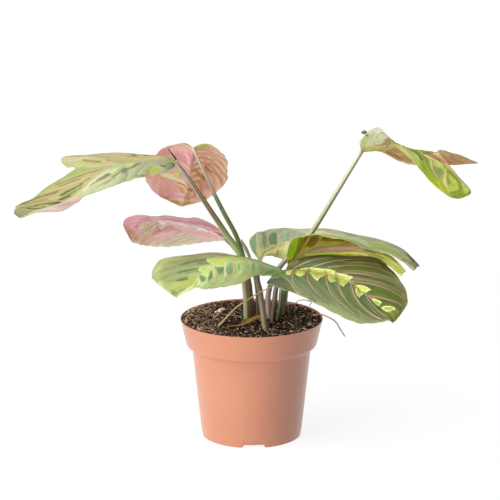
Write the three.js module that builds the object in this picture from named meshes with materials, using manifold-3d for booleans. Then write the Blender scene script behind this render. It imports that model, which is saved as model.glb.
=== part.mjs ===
// Potted prayer plant: a round nursery pot filled with soil, eight leaves on stalks of their own,
// a young shoot and three dry scraps. Millimetres, +Z up, origin at the centre of the pot's foot,
// and the front of the plant towards -Y.

import * as THREE from 'three';
import { mergeVertices } from 'three/addons/utils/BufferGeometryUtils.js';
import Module from 'manifold-3d';

const wasm = await Module();
wasm.setup();

// Driving dimensions of the pot.
const RIM_RADIUS = 60;
const POT_HEIGHT = 101.5;
const FOOT_RADIUS = 42.2;
const FOOT_WIDTH = 2.6;
const WALL = 1.2;
const BODY_TOP_RADIUS = 50.3;
const BODY_TOP = 77.2;
const COLLAR_RADIUS = 55.4;
const COLLAR_BOTTOM = 80.8;
const BASE_LIFT = 3.4;
const BASE_THICKNESS = 1.4;
const RIM_INSIDE = RIM_RADIUS - WALL;
const COLLAR_INSIDE = COLLAR_RADIUS - WALL;
const BODY_INSIDE = BODY_TOP_RADIUS - WALL;
const FOOT_INSIDE = FOOT_RADIUS - WALL + 0.5;
const POT_SIDES = 72;
const NOTCH_WIDTH = 20.5;
const NOTCH_TOP_WIDTH = 15.5;
const NOTCH_HEIGHT = 2.8;
const NOTCH_COUNT = 4;
const NOTCH_TURN = THREE.MathUtils.degToRad(-87.5);
const DRAIN_RADIUS = 4;
const DRAIN_CIRCLE = 25;
const DRAIN_COUNT = 6;

// Driving dimensions of the soil and of everything that grows.
const GAP = 0.3;
const SOIL_LEVEL = 99.6;
const SOIL_RINGS = 11;
const ROOT_DEPTH = 9;
const BLADE_EDGE = 0.7;
const BLADE_MIDDLE = 1.7;
const HALF_COLUMNS = 4;
const BLADE_ROWS = 24;
const RUFFLE = 0.9;
const RUFFLE_WAVES = 4.5;
const STALK_SIDES = 8;
const STALK_STOP = 1.7;

// Colours.
const POT_COLOUR = 0xe0916f;
const SOIL_COLOUR = 0x3a2a20;
const UPPER_COLOUR = 0x86a44c;
const UNDER_COLOUR = 0xc98087;
const STALK_COLOUR = 0x83975a;
const DRY_COLOUR = 0xc9a06a;

// Each leaf is a sheet between three rails that run from its joint to its tip: the midrib and
// the two margins, left and right as seen when walking to the tip with the upper face up.
// An arch lifts the middle of a half above its chord, and a middle rail says where it runs.
const LEAVES = {
  leaf_a: {
    rib: [
      [-62.5, -4, 236], [-73, -6.5, 237.5], [-82, -8.5, 238], [-90.5, -10.5, 238], [-98, -12, 238],
      [-105, -13.5, 237.5], [-110.5, -14.5, 236], [-127, -19, 228], [-136, -21.5, 220], [-145, -23.5, 212.5],
      [-155.5, -27, 207], [-171.5, -34, 204.5], [-189, -43, 198],
    ],
    left: [
      [-62.5, -5, 234], [-67, -16, 232], [-75, -24, 231], [-83, -30, 230], [-91, -34, 229.5],
      [-98, -38, 228.5], [-104, -41, 227.5], [-118, -46, 222.5], [-128, -48, 220.5], [-142.5, -50, 216.5],
      [-157.5, -50, 210.5], [-177, -47, 204.5], [-184, -44, 199.5],
    ],
    right: [
      [-63.5, -3, 238], [-72.5, 5, 239.5], [-90.5, 12, 238.5], [-115.5, 16, 239.5], [-141, 18, 238],
      [-158, 17, 235], [-155, 14, 228], [-147, 7, 228.5], [-154.5, 3, 222.5], [-170.5, -4, 215.5],
      [-182, -15, 207.5], [-192.5, -31, 205.5], [-194, -42, 202],
    ],
    leftArch: [0, 3, 4, 5, 5, 5, 5, 4, 1, -5, -6, -2, 0],
    rightArch: [0, 2, 2, 2, 2, 2.5, 3, 3, 3, 3, 2, 1, 0],
  },
  leaf_b: {
    rib: [
      [-49, 14, 244.5], [-49.5, 25, 234.5], [-51, 36, 223.5], [-52.5, 47, 211.5], [-54.5, 57, 199.5],
      [-57.5, 65, 189.5], [-60, 70, 181],
    ],
    left: [
      [-50, 14, 245], [-59, 14, 248.5], [-72.5, 19, 243.5], [-86.5, 29, 230], [-91, 42, 212.5],
      [-80, 57, 194], [-62, 69, 181.5],
    ],
    right: [
      [-47.5, 14, 245], [-38, 17, 247], [-25.5, 24, 239.5], [-20, 37, 223], [-22.5, 50, 206.5],
      [-37.5, 63, 189.5], [-58.5, 69, 181.5],
    ],
    leftArch: [0, 4, 7, 9, 9, 5, 0],
    rightArch: [0, 4, 7, 9, 9, 5, 0],
  },
  leaf_c: {
    rib: [
      [-22.5, 12, 166.5], [-31, 14, 173], [-41, 16, 177], [-52, 17, 178.5], [-63.5, 18, 180.5],
      [-76.5, 19, 179.5], [-87.5, 20, 176], [-96, 22, 169.5], [-101, 24, 161],
    ],
    left: [
      [-22.5, 12, 168], [-27.5, 9, 176], [-36.5, 2, 184.5], [-48, -4, 188.5], [-63, -7, 190.5],
      [-77.5, -7, 191], [-93.5, -5, 191.5], [-107.5, 4, 183.5], [-103, 22, 164],
    ],
    right: [
      [-22.5, 13, 165], [-29, 17, 163.5], [-41, 22, 161], [-54.5, 26, 158], [-69.5, 29, 155.5],
      [-84.5, 30, 155.5], [-94, 28, 157.5], [-99, 26, 159.5], [-100, 25, 160],
    ],
    leftArch: [0, 1, 1, 1, 1, 1, 1.5, 2, 0],
    rightArch: [0, 2, 3, 4, 4, 4, 3, 1, 0],
  },
  leaf_d: {
    rib: [
      [24.5, -11, 146], [13.5, -18, 151.5], [2, -26, 157.5], [-9.5, -32, 162], [-22, -38, 163],
      [-32.5, -44, 159.5], [-40.5, -49, 153], [-46, -52, 147.5], [-52.5, -55, 142.5], [-62.5, -58, 135.5],
    ],
    left: [
      [23.5, -12, 144], [15.5, -20, 143.5], [3.5, -36, 147], [-9.5, -46, 144], [-24, -53, 142],
      [-38, -57, 142], [-45.5, -58, 143.5], [-50, -58, 141], [-56, -59, 139], [-61, -58, 135],
    ],
    right: [
      [23.5, -10, 147], [15.5, -8, 150], [3, -7, 153.5], [-11.5, -7, 157.5], [-33, -8, 159.5],
      [-56, -12, 159.5], [-76.5, -22, 156], [-82.5, -38, 149], [-77.5, -48, 144], [-63.5, -57, 136],
    ],
    leftArch: [0, 3, 5, 6, 6, 5, 3, 1, 0, 0],
    rightArch: [0, 0, 0, 0, 0.5, 1, 2, 1.5, 1, 0],
  },
  leaf_e: {
    rib: [
      [92, 14, 242], [98.5, 15, 242.5], [106, 16, 243], [113, 17, 244], [118, 17.5, 245],
      [123, 18.5, 244.5], [128, 19.5, 243.5], [132.5, 20.5, 242.5], [136, 22, 241.5], [139.5, 23, 241],
      [142.5, 24.5, 240.5], [146, 26, 239.5], [153.5, 30, 237.5], [165.5, 36, 232], [179.5, 41, 227.5],
      [192, 45, 225],
    ],
    left: [
      [92.5, 14, 240.5], [99.5, 18, 240.5], [107.5, 22, 239.5], [114.5, 25, 235.5], [120.5, 28, 231.5],
      [126.5, 30, 228.5], [132.5, 31, 226.5], [138.5, 32, 226], [142.5, 33, 225.5], [147, 34, 225.5],
      [151.5, 35, 225], [156.5, 36, 224.5], [164, 38, 224], [174, 41, 224], [183.5, 44, 224],
      [191, 45, 224.5],
    ],
    right: [
      [91.5, 14, 243], [90, 9, 251.5], [96, 4, 260], [103.5, 2, 264], [112, 0, 258],
      [119, -2, 250.5], [129, -5, 241], [140, -8, 229], [153, -11, 217], [168, -12, 207],
      [181.5, -7, 211], [170, 5, 225], [156, 20, 240.5], [168.5, 29, 237], [180, 37, 232],
      [191.5, 44, 225.5],
    ],
    rightMiddle: [
      [91.5, 14, 242.5], [92, 12, 246.5], [98.5, 11, 251], [106.5, 11, 253.5], [115, 10, 252],
      [120.5, 9, 249.5], [126.5, 7, 246.5], [132.5, 6, 241], [140, 5, 234.5], [149, 5, 229.5],
      [156.5, 8, 230.5], [154.5, 15, 234.5], [153.5, 25, 238], [166, 32, 234], [180, 39, 229.5],
      [191.5, 44, 225.5],
    ],
    leftArch: [0, 2, 3, 3, 3, 3, 3, 3, 3, 3, 2, 2, 2, 1, 1, 0],
    rows: 30,
  },
  leaf_f: {
    rib: [
      [7, 2, 149.5], [10.5, 6, 155], [16.5, 11, 157.5], [25, 17, 159], [41, 26, 161.5],
      [60, 34, 162], [79.5, 41, 159], [99.5, 46, 153.5], [117, 50, 147.5], [131, 52, 140],
      [142.5, 53, 131.5],
    ],
    left: [
      [6, 3, 150], [-2, 9, 163], [3, 20, 170], [14, 33, 169.5], [33, 48, 167],
      [57, 59, 164.5], [81.5, 66, 158.5], [108.5, 68, 153], [130, 64, 144.5], [140, 58, 137.5],
      [145, 54, 132],
    ],
    right: [
      [8, 3, 147.5], [9, 5, 152], [13, 8, 153.5], [20.5, 11, 151], [32.5, 15, 146],
      [51, 20, 150], [71.5, 27, 151.5], [92.5, 36, 150], [112.5, 44, 147], [127.5, 49, 138.5],
      [139.5, 52, 128],
    ],
    leftArch: [0, 2, 3, 2.5, 2, 2, 2, 2, 2, 1, 0],
    rightArch: [0, 1, 1, 2, 4, 4, 4, 3, 2, 1, 0],
  },
  leaf_g: {
    rib: [
      [30.5, 0, 144.5], [36.5, -3, 152.5], [43.5, -8, 159.5], [56.5, -16, 166.5], [73, -24, 170],
      [89, -29, 169], [104, -32, 164], [115.5, -34, 157], [124.5, -35, 149.5],
    ],
    left: [
      [31.5, 1, 143.5], [40, 8, 146], [51, 11, 149], [66, 9, 152], [81, 5, 153],
      [94, -2, 154], [105, -14, 155], [114.5, -26, 152.5], [123.5, -34, 146],
    ],
    right: [
      [30, -1, 146.5], [29.5, -14, 162], [35.5, -26, 177], [45.5, -34, 181], [60, -41, 182.5],
      [74.5, -46, 180.5], [93.5, -44, 173], [114, -40, 165.5], [127.5, -36, 151.5],
    ],
    leftArch: [0, 2, 3, 4, 4, 3, 2, 1, 0],
    rightArch: [0, 3, 4, 4.5, 4, 3, 2, 1, 0],
  },
  leaf_h: {
    rib: [
      [28, -14, 146], [33.5, -17, 148], [43.5, -23, 149], [55.5, -31, 149], [70, -40, 147.5],
      [82, -48, 144.5], [93.5, -55, 136.5], [104.5, -60, 127.5], [112, -63, 122], [116, -66, 117],
    ],
    left: [
      [28.5, -13, 147], [33, -10, 152.5], [43, -9, 156], [60, -11, 158], [81, -15, 159.5],
      [101.5, -20, 158.5], [116.5, -32, 151.5], [125, -44, 140], [127.5, -55, 129.5], [117.5, -65, 117.5],
    ],
    right: [
      [27, -15.5, 144.5], [12, -32, 141], [20, -39, 138.5], [37, -45, 134], [56, -55, 127.5],
      [73.5, -61, 119], [89, -64, 115], [102, -66, 115.5], [111, -67, 118], [115, -67, 116],
    ],
    leftArch: [0, 3, 5, 6, 6, 6, 5, 4, 2, 0],
    rightArch: [0, 3, 5, 7, 7, 7, 5, 3, 1, 0],
  },
};

// Each stalk starts just under the soil's surface and runs to the leaf of the same letter, where it stops
// a little short of the midrib's first point.
const STALKS = {
  stalk_a: {
    path: [
      [-4, 3, 98.5], [-4.5, 5, 115.5], [-5, 6, 124], [-9.5, 6, 153.5], [-21.5, 5, 173],
      [-35.5, 2, 195.5], [-48, -1, 215.5],
    ],
    radii: [2.7, 2.8, 2.8, 2.7, 2.5, 2.2, 2, 1.3],
  },
  stalk_b: {
    path: [
      [-1, 12, 98.5], [-1.5, 13, 113], [-2, 14, 126], [-7, 15, 149.5], [-13, 16, 168.5],
      [-22.5, 17, 186.5], [-30, 16, 202], [-37.5, 15.5, 219],
    ],
    radii: [2.3, 2.4, 2.4, 2.2, 2, 1.9, 1.8, 1.3, 1.1],
    stop: 2.2,
  },
  stalk_c: {
    path: [[1, 22, 98.5], [-1.5, 22, 119.5], [-7.5, 22, 144], [-15, 19.5, 157]],
    radii: [2.2, 2.2, 2, 1.6, 1.1],
    stop: 2,
  },
  stalk_d: {
    path: [[17.5, -4, 98.5], [19, -8, 115], [20.5, -11, 130.5]],
    radii: [2.3, 2.3, 2, 1.1],
    stop: 2.7,
  },
  stalk_e: {
    path: [
      [15, 6, 98.5], [14, 5, 111], [14, 4, 120], [17, 3, 132.5], [24.5, 6, 145], [36.5, 7, 158.5],
      [49.5, 7, 172.5], [70.5, 9, 207],
    ],
    radii: [2.1, 2.1, 2, 1.9, 1.9, 1.9, 1.9, 1.8, 1.3],
  },
  stalk_f: {
    path: [[11.5, -26, 98.5], [8.5, -19, 118], [7, -15, 129], [5, -9, 137.5], [6, -3, 145.5]],
    radii: [2.7, 2.5, 2.3, 1.9, 1.6, 1.1],
    stop: 0.8,
  },
  stalk_g: {
    path: [[26, 16, 98.5], [28, 11, 114], [29.5, 5, 128.5]],
    radii: [2.3, 2.3, 1.9, 1.1],
  },
  stalk_h: {
    path: [[22, 1, 98.5], [24, -3, 113.5], [25, -8, 128]],
    radii: [1.8, 1.8, 1.7, 1.1],
  },
};

// The young shoot stands in the soil, and its flattened tip ends free beside stalk A.
const YOUNG_SHOOT = {
  path: [[5, 12, 97.5], [4.5, 11, 120], [1.5, 9, 140], [-1.5, 7, 151.5], [-5, 6.5, 160], [-9, 6, 167.5]],
  radii: [1.3, 1.3, 1.2, 1.2, 1.6, 0.9],
  flatness: 0.6,
};

// Dry scraps: x and y of each point, and how far its centre line stands above the soil.
const DRY_STEM = {
  path: [
    [-27, -23, 1.6], [-22.5, -22.5, 6.5], [-19, -22, 10.5], [-12, -21.5, 17.5], [0, -21, 25.5],
    [9, -21.5, 31], [18, -20.5, 34.5],
  ],
  radii: [1.1, 0.8, 0.8, 0.7, 0.6, 0.5, 0.4],
  flatness: 1,
};
const DRY_SHEATH = {
  path: [[-18.5, -25.5, 1.7], [-9.5, -21.5, 2.4], [-2.5, -18, 3.2], [3, -15.5, 4.6], [6.5, -13, 6]],
  radii: [0.5, 1.5, 2.3, 2.1, 1],
  flatness: 0.5,
};
const DRY_ROOT = {
  path: [[51.5, 9, 0.9], [55, 7, 2.3], [59.5, 5.5, 2.9], [70, 5, -2.3], [74.5, 5, -9.1], [79, 5, -16.1]],
  radii: [0.6, 0.6, 0.6, 0.6, 0.6, 0.5],
  flatness: 1,
};

function vectors(rows) {
  return rows.map((row) => new THREE.Vector3(...row));
}

// A smooth curve that passes through each point, with the points evenly spaced in its parameter.
function rail(points) {
  return new THREE.CatmullRomCurve3(points, false, 'catmullrom', 0.5);
}

function between(values, share) {
  const place = share * (values.length - 1);
  const index = Math.min(Math.floor(place), values.length - 2);
  return THREE.MathUtils.lerp(values[index], values[index + 1], place - index);
}

function signedVolume(positions, triangles) {
  const corner = (index) => new THREE.Vector3().fromArray(positions, 3 * index);
  let volume = 0;
  for (let k = 0; k < triangles.length; k += 3) {
    const [a, b, c] = [corner(triangles[k]), corner(triangles[k + 1]), corner(triangles[k + 2])];
    volume += a.dot(b.cross(c)) / 6;
  }
  return volume;
}

// A closed body whose faces point out.
function closedBody(positions, triangles) {
  const faces = triangles.slice();
  if (signedVolume(positions, faces) < 0) {
    for (let k = 0; k < faces.length; k += 3) {
      [faces[k], faces[k + 1]] = [faces[k + 1], faces[k]];
    }
  }
  const geometry = new THREE.BufferGeometry();
  geometry.setAttribute('position', new THREE.Float32BufferAttribute(positions, 3));
  geometry.setIndex(faces);
  return geometry;
}

// Merges a geometry's shared vertices and drops the triangles that shrink to a line.
function welded(geometry) {
  geometry.deleteAttribute('normal');
  geometry.deleteAttribute('uv');
  const merged = mergeVertices(geometry, 1e-4);
  const index = Array.from(merged.index.array);
  const kept = [];
  for (let k = 0; k < index.length; k += 3) {
    const [a, b, c] = index.slice(k, k + 3);
    if (a !== b && b !== c && c !== a) {
      kept.push(a, b, c);
    }
  }
  return closedBody(Array.from(merged.attributes.position.array), kept);
}

function toManifold(geometry) {
  const vertProperties = new Float32Array(geometry.attributes.position.array);
  const triVerts = new Uint32Array(geometry.index.array);
  return new wasm.Manifold(new wasm.Mesh({ numProp: 3, vertProperties, triVerts }));
}

function fromManifold(solid) {
  const mesh = solid.getMesh();
  return closedBody(Array.from(mesh.vertProperties), Array.from(mesh.triVerts));
}

// The middle sheet of a leaf as rows of points from the left margin to the right one.
function leafSheet(leaf, rowCount) {
  const rib = rail(vectors(leaf.rib));
  const halves = [
    { edge: rail(vectors(leaf.left)), middle: leaf.leftMiddle, arch: leaf.leftArch, side: 1 },
    { edge: rail(vectors(leaf.right)), middle: leaf.rightMiddle, arch: leaf.rightArch, side: -1 },
  ];
  const rows = [];
  for (let i = 0; i <= rowCount; i += 1) {
    const share = i / rowCount;
    const start = rib.getPoint(share);
    const along = rib.getTangent(share);
    const [left, right] = halves.map(({ edge, middle, arch, side }) => {
      const end = edge.getPoint(share);
      const chord = end.clone().sub(start);
      const lift = along.clone().cross(chord).multiplyScalar(side).normalize();
      const crown = middle
        ? rail(vectors(middle)).getPoint(share)
        : start.clone().lerp(end, 0.5).addScaledVector(lift, between(arch, share));
      return { end, crown };
    });
    const row = [];
    for (let j = -HALF_COLUMNS; j <= HALF_COLUMNS; j += 1) {
      const half = j < 0 ? left : right;
      const t = Math.abs(j) / HALF_COLUMNS;
      row.push(new THREE.Vector3()
        .addScaledVector(start, (1 - t) * (1 - 2 * t))
        .addScaledVector(half.crown, 4 * t * (1 - t))
        .addScaledVector(half.end, t * (2 * t - 1)));
    }
    rows.push(row);
  }
  return rows;
}

// The direction square to the sheet at each of its points, on the leaf's upper side.
function sheetNormals(rows) {
  const last = rows.length - 1;
  const edge = rows[0].length - 1;
  return rows.map((row, i) => row.map((_, j) => {
    const down = rows[Math.min(i + 1, last)][j].clone().sub(rows[Math.max(i - 1, 0)][j]);
    const across = row[Math.min(j + 1, edge)].clone().sub(row[Math.max(j - 1, 0)]);
    return across.cross(down).normalize();
  }));
}

// A leaf blade: thick along the midrib, thin and gently ruffled at the margins.
function bladeGeometry(leaf) {
  const rowCount = leaf.rows ?? BLADE_ROWS;
  const sheet = leafSheet(leaf, rowCount);
  const firstNormals = sheetNormals(sheet);
  sheet.forEach((row, i) => row.forEach((point, j) => {
    const v = (j - HALF_COLUMNS) / HALF_COLUMNS;
    const share = i / rowCount;
    const fade = Math.sin(Math.PI * share);
    const wave = Math.sin(2 * Math.PI * RUFFLE_WAVES * share + 2 * v);
    point.addScaledVector(firstNormals[i][j], RUFFLE * fade * Math.abs(v) ** 3 * wave);
  }));
  const normals = sheetNormals(sheet);
  const columns = sheet[0].length;
  const positions = [];
  for (const face of [1, -1]) {
    sheet.forEach((row, i) => row.forEach((point, j) => {
      const v = Math.abs(j - HALF_COLUMNS) / HALF_COLUMNS;
      const thickness = BLADE_EDGE + (BLADE_MIDDLE - BLADE_EDGE) * (1 - v) ** 3;
      const corner = point.clone().addScaledVector(normals[i][j], (face * thickness) / 2);
      positions.push(...corner.toArray());
    }));
  }
  const top = (i, j) => i * columns + j;
  const bottom = (i, j) => (rowCount + 1) * columns + i * columns + j;
  const triangles = [];
  const quad = (a, b, c, d) => triangles.push(a, b, c, a, c, d);
  for (let i = 0; i < rowCount; i += 1) {
    for (let j = 0; j < columns - 1; j += 1) {
      quad(top(i, j), top(i + 1, j), top(i + 1, j + 1), top(i, j + 1));
      const [a, b, c, d] = [bottom(i, j), bottom(i + 1, j), bottom(i + 1, j + 1), bottom(i, j + 1)];
      triangles.push(c, b, a, d, c, a);
    }
    quad(bottom(i, 0), bottom(i + 1, 0), top(i + 1, 0), top(i, 0));
    quad(top(i, columns - 1), top(i + 1, columns - 1), bottom(i + 1, columns - 1), bottom(i, columns - 1));
  }
  for (let j = 0; j < columns - 1; j += 1) {
    quad(top(0, j), top(0, j + 1), bottom(0, j + 1), bottom(0, j));
    quad(bottom(rowCount, j), bottom(rowCount, j + 1), top(rowCount, j + 1), top(rowCount, j));
  }
  return closedBody(positions, triangles);
}

// A tube through the given points whose radius changes along it. Flatness squeezes its section.
function taperedTube(points, radii, { sides = STALK_SIDES, flatness = 1, grow = 0 } = {}) {
  const curve = rail(points);
  const steps = 2 * (points.length - 1);
  const positions = [];
  let across = new THREE.Vector3(1, 0, 0);
  for (let i = 0; i <= steps; i += 1) {
    const share = i / steps;
    const centre = curve.getPoint(share);
    const along = curve.getTangent(share);
    across = across.addScaledVector(along, -across.dot(along)).normalize();
    const other = along.clone().cross(across);
    const radius = between(radii, share) + grow;
    for (let k = 0; k < sides; k += 1) {
      const angle = (2 * Math.PI * k) / sides;
      const corner = centre.clone()
        .addScaledVector(across, radius * Math.cos(angle))
        .addScaledVector(other, radius * flatness * Math.sin(angle));
      positions.push(...corner.toArray());
    }
  }
  const triangles = [];
  for (let i = 0; i < steps; i += 1) {
    for (let k = 0; k < sides; k += 1) {
      const [a, b] = [i * sides + k, i * sides + ((k + 1) % sides)];
      triangles.push(a, b, b + sides, a, b + sides, a + sides);
    }
  }
  for (let k = 1; k < sides - 1; k += 1) {
    triangles.push(0, k + 1, k, steps * sides, steps * sides + k, steps * sides + k + 1);
  }
  return closedBody(positions, triangles);
}

// A stalk's points from its root in the soil to its leaf.
function stalkPoints(stalk, leaf) {
  const points = vectors(stalk.path);
  const rootward = points[0].clone().sub(points[1]).normalize();
  const root = points[0].clone().addScaledVector(rootward, ROOT_DEPTH);
  if (leaf) {
    const joint = new THREE.Vector3(...leaf.rib[0]);
    const approach = joint.clone().sub(points.at(-1)).normalize();
    points.push(joint.addScaledVector(approach, -(stalk.stop ?? STALK_STOP)));
  }
  return [root, ...points];
}

function rootedTube(stalk, leaf, grow = 0) {
  const radii = [stalk.radii[0], ...stalk.radii];
  return taperedTube(stalkPoints(stalk, leaf), radii, { flatness: stalk.flatness ?? 1, grow });
}

// The part of a stalk that stands in the soil, a little fatter and deeper: it cuts the hole.
function socketTube(stalk) {
  const [root, surface] = stalkPoints(stalk, null);
  const out = surface.clone().sub(root).normalize();
  const ends = [root.clone().addScaledVector(out, -GAP), surface.clone().addScaledVector(out, ROOT_DEPTH)];
  const radius = stalk.radii[0] + GAP + 0.1;
  return taperedTube(ends, [radius, radius], {});
}

// Height of the soil's surface: low swells and lumps on a level that drops to the right.
function soilHeight(x, y) {
  const slope = (-0.9 * x) / RIM_RADIUS;
  const swell = 0.4 * Math.sin(0.17 * x + 0.8) * Math.cos(0.15 * y);
  const lump = 0.3 * Math.sin(0.43 * x + 0.21 * y) * Math.sin(0.39 * y - 0.18 * x);
  return SOIL_LEVEL + slope + swell + lump;
}

function overSoil(path) {
  return path.map(([x, y, height]) => new THREE.Vector3(x, y, SOIL_LEVEL + height));
}

function turned(profile, sides) {
  const points = profile.map(([radius, height]) => new THREE.Vector2(radius, height));
  const geometry = new THREE.LatheGeometry(points, sides);
  geometry.rotateX(Math.PI / 2);
  return welded(geometry);
}

function outerProfile() {
  return [
    [FOOT_RADIUS, 0],
    [BODY_TOP_RADIUS, BODY_TOP],
    [COLLAR_RADIUS - 2.8, BODY_TOP + 0.6],
    [COLLAR_RADIUS - 0.8, COLLAR_BOTTOM - 1.6],
    [COLLAR_RADIUS, COLLAR_BOTTOM],
    [RIM_RADIUS - 0.3, POT_HEIGHT - 0.9],
    [RIM_RADIUS, POT_HEIGHT - 0.4],
    [RIM_RADIUS - 0.2, POT_HEIGHT],
  ];
}

function innerProfile() {
  const floorTop = BASE_LIFT + BASE_THICKNESS;
  return [
    [RIM_RADIUS - 1, POT_HEIGHT],
    [RIM_INSIDE, POT_HEIGHT - 0.4],
    [COLLAR_INSIDE, COLLAR_BOTTOM + 0.3],
    [COLLAR_INSIDE - 2.4, BODY_TOP + 1.9],
    [BODY_INSIDE, BODY_TOP + 1.2],
    [FOOT_INSIDE, floorTop],
    [0, floorTop],
  ];
}

// A wedge that cuts one rising notch through the foot ring.
function notchCutter(angle) {
  const shape = new THREE.Shape();
  shape.moveTo(-NOTCH_WIDTH / 2, -1);
  shape.lineTo(NOTCH_WIDTH / 2, -1);
  shape.lineTo(NOTCH_WIDTH / 2, 0);
  shape.lineTo(NOTCH_TOP_WIDTH / 2, NOTCH_HEIGHT);
  shape.lineTo(-NOTCH_TOP_WIDTH / 2, NOTCH_HEIGHT);
  shape.lineTo(-NOTCH_WIDTH / 2, 0);
  const reach = 3 * FOOT_WIDTH;
  const geometry = new THREE.ExtrudeGeometry(shape, { depth: reach, bevelEnabled: false });
  geometry.rotateX(Math.PI / 2);
  geometry.translate(0, FOOT_RADIUS + FOOT_WIDTH, 0);
  geometry.rotateZ(angle - Math.PI / 2);
  return toManifold(welded(geometry));
}

function drainCutter(angle) {
  const geometry = new THREE.CylinderGeometry(DRAIN_RADIUS, DRAIN_RADIUS, 4 * BASE_THICKNESS, 12);
  geometry.rotateX(Math.PI / 2);
  geometry.translate(DRAIN_CIRCLE * Math.cos(angle), DRAIN_CIRCLE * Math.sin(angle), BASE_LIFT);
  return toManifold(welded(geometry));
}

function potGeometry() {
  const underside = [
    [0, BASE_LIFT],
    [FOOT_RADIUS - FOOT_WIDTH - 0.4, BASE_LIFT],
    [FOOT_RADIUS - FOOT_WIDTH, 0],
  ];
  let pot = toManifold(turned([...underside, ...outerProfile(), ...innerProfile()], POT_SIDES));
  for (let k = 0; k < NOTCH_COUNT; k += 1) {
    pot = pot.subtract(notchCutter(NOTCH_TURN + (2 * Math.PI * k) / NOTCH_COUNT));
  }
  for (let k = 0; k < DRAIN_COUNT; k += 1) {
    pot = pot.subtract(drainCutter((2 * Math.PI * (k + 0.5)) / DRAIN_COUNT));
  }
  return fromManifold(pot);
}

// The soil fills the pot, and its surface has a hole for each thing that stands in it.
function soilGeometry(sockets) {
  const underside = BASE_LIFT + BASE_THICKNESS + GAP;
  const collarGrade = (RIM_INSIDE - COLLAR_INSIDE) / (POT_HEIGHT - COLLAR_BOTTOM);
  const edge = COLLAR_INSIDE + (SOIL_LEVEL - COLLAR_BOTTOM) * collarGrade - 3 * GAP;
  const profile = [
    [0, underside],
    [FOOT_INSIDE - GAP, underside],
    [BODY_INSIDE - GAP, BODY_TOP + 1.5],
    [COLLAR_INSIDE - 2.4 - GAP, BODY_TOP + 2.3],
    [COLLAR_INSIDE - GAP, COLLAR_BOTTOM + 0.5],
  ];
  for (let ring = 0; ring <= SOIL_RINGS; ring += 1) {
    profile.push([edge * (1 - ring / SOIL_RINGS), SOIL_LEVEL]);
  }
  const geometry = turned(profile, POT_SIDES);
  const places = geometry.attributes.position;
  for (let k = 0; k < places.count; k += 1) {
    if (places.getZ(k) > SOIL_LEVEL - 0.01) {
      places.setZ(k, soilHeight(places.getX(k), places.getY(k)));
    }
  }
  let soil = toManifold(geometry);
  for (const socket of sockets) {
    soil = soil.subtract(toManifold(socket));
  }
  return fromManifold(soil);
}

function material(colour, roughness) {
  return new THREE.MeshStandardMaterial({ color: colour, roughness, metalness: 0 });
}

const plant = new THREE.Group();

function addPiece(name, geometry, surface) {
  const mesh = new THREE.Mesh(geometry, surface);
  mesh.name = name;
  plant.add(mesh);
}

addPiece('pot', potGeometry(), material(POT_COLOUR, 0.5));

const rooted = [...Object.values(STALKS), YOUNG_SHOOT];
addPiece('soil', soilGeometry(rooted.map(socketTube)), material(SOIL_COLOUR, 0.95));

const underLeaves = ['leaf_b', 'leaf_c'];
for (const [name, leaf] of Object.entries(LEAVES)) {
  const colour = underLeaves.includes(name) ? UNDER_COLOUR : UPPER_COLOUR;
  addPiece(name, bladeGeometry(leaf), material(colour, 0.55));
}

for (const [name, stalk] of Object.entries(STALKS)) {
  const leaf = LEAVES[name.replace('stalk', 'leaf')];
  addPiece(name, rootedTube(stalk, leaf), material(STALK_COLOUR, 0.5));
}
addPiece('young_shoot', rootedTube(YOUNG_SHOOT, null), material(STALK_COLOUR, 0.6));

const scraps = { dry_stem: DRY_STEM, dry_sheath: DRY_SHEATH, dry_root: DRY_ROOT };
for (const [name, scrap] of Object.entries(scraps)) {
  const geometry = taperedTube(overSoil(scrap.path), scrap.radii, { sides: 6, flatness: scrap.flatness });
  addPiece(name, geometry, material(DRY_COLOUR, 0.85));
}

export default plant;
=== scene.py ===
"""Looks of a potted prayer plant: leaves with their markings, stalks, soil and a nursery pot."""

import math
import random

import bpy
import numpy as np
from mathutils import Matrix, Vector


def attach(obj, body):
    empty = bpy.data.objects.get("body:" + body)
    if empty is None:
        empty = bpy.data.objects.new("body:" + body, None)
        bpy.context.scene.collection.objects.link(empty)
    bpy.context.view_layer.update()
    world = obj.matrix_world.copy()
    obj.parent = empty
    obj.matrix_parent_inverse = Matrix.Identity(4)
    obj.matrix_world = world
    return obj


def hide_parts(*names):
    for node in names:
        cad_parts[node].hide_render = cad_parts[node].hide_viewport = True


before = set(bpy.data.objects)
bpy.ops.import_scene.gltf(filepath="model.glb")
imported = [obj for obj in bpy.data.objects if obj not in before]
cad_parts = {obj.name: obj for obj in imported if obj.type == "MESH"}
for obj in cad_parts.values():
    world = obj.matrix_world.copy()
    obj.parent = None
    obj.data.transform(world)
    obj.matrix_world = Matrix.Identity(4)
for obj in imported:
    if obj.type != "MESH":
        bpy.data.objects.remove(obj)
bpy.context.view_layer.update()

MM = 0.001

# The photograph's view: where the camera stands, what it looks at, and its lens.
EYE = (0.0, -1.9, 0.647)
AIM = (-0.00135, 0.0, 0.16025)
PHOTO_SIZE = 500
FOCAL_PIXELS = 2346.0
SENSOR = 36.0
FARTHEST_SEEN = 50.0

lens = bpy.data.cameras.new("View")
lens.sensor_width = SENSOR
lens.lens = FOCAL_PIXELS / PHOTO_SIZE * SENSOR
lens.clip_end = FARTHEST_SEEN
camera = bpy.data.objects.new("View", lens)
camera.location = EYE
camera.rotation_euler = (Vector(AIM) - Vector(EYE)).to_track_quat("-Z", "Y").to_euler()
bpy.context.scene.collection.objects.link(camera)
bpy.context.scene.camera = camera
bpy.context.scene.view_settings.view_transform = "Standard"
bpy.context.scene.view_settings.look = "None"

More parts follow.
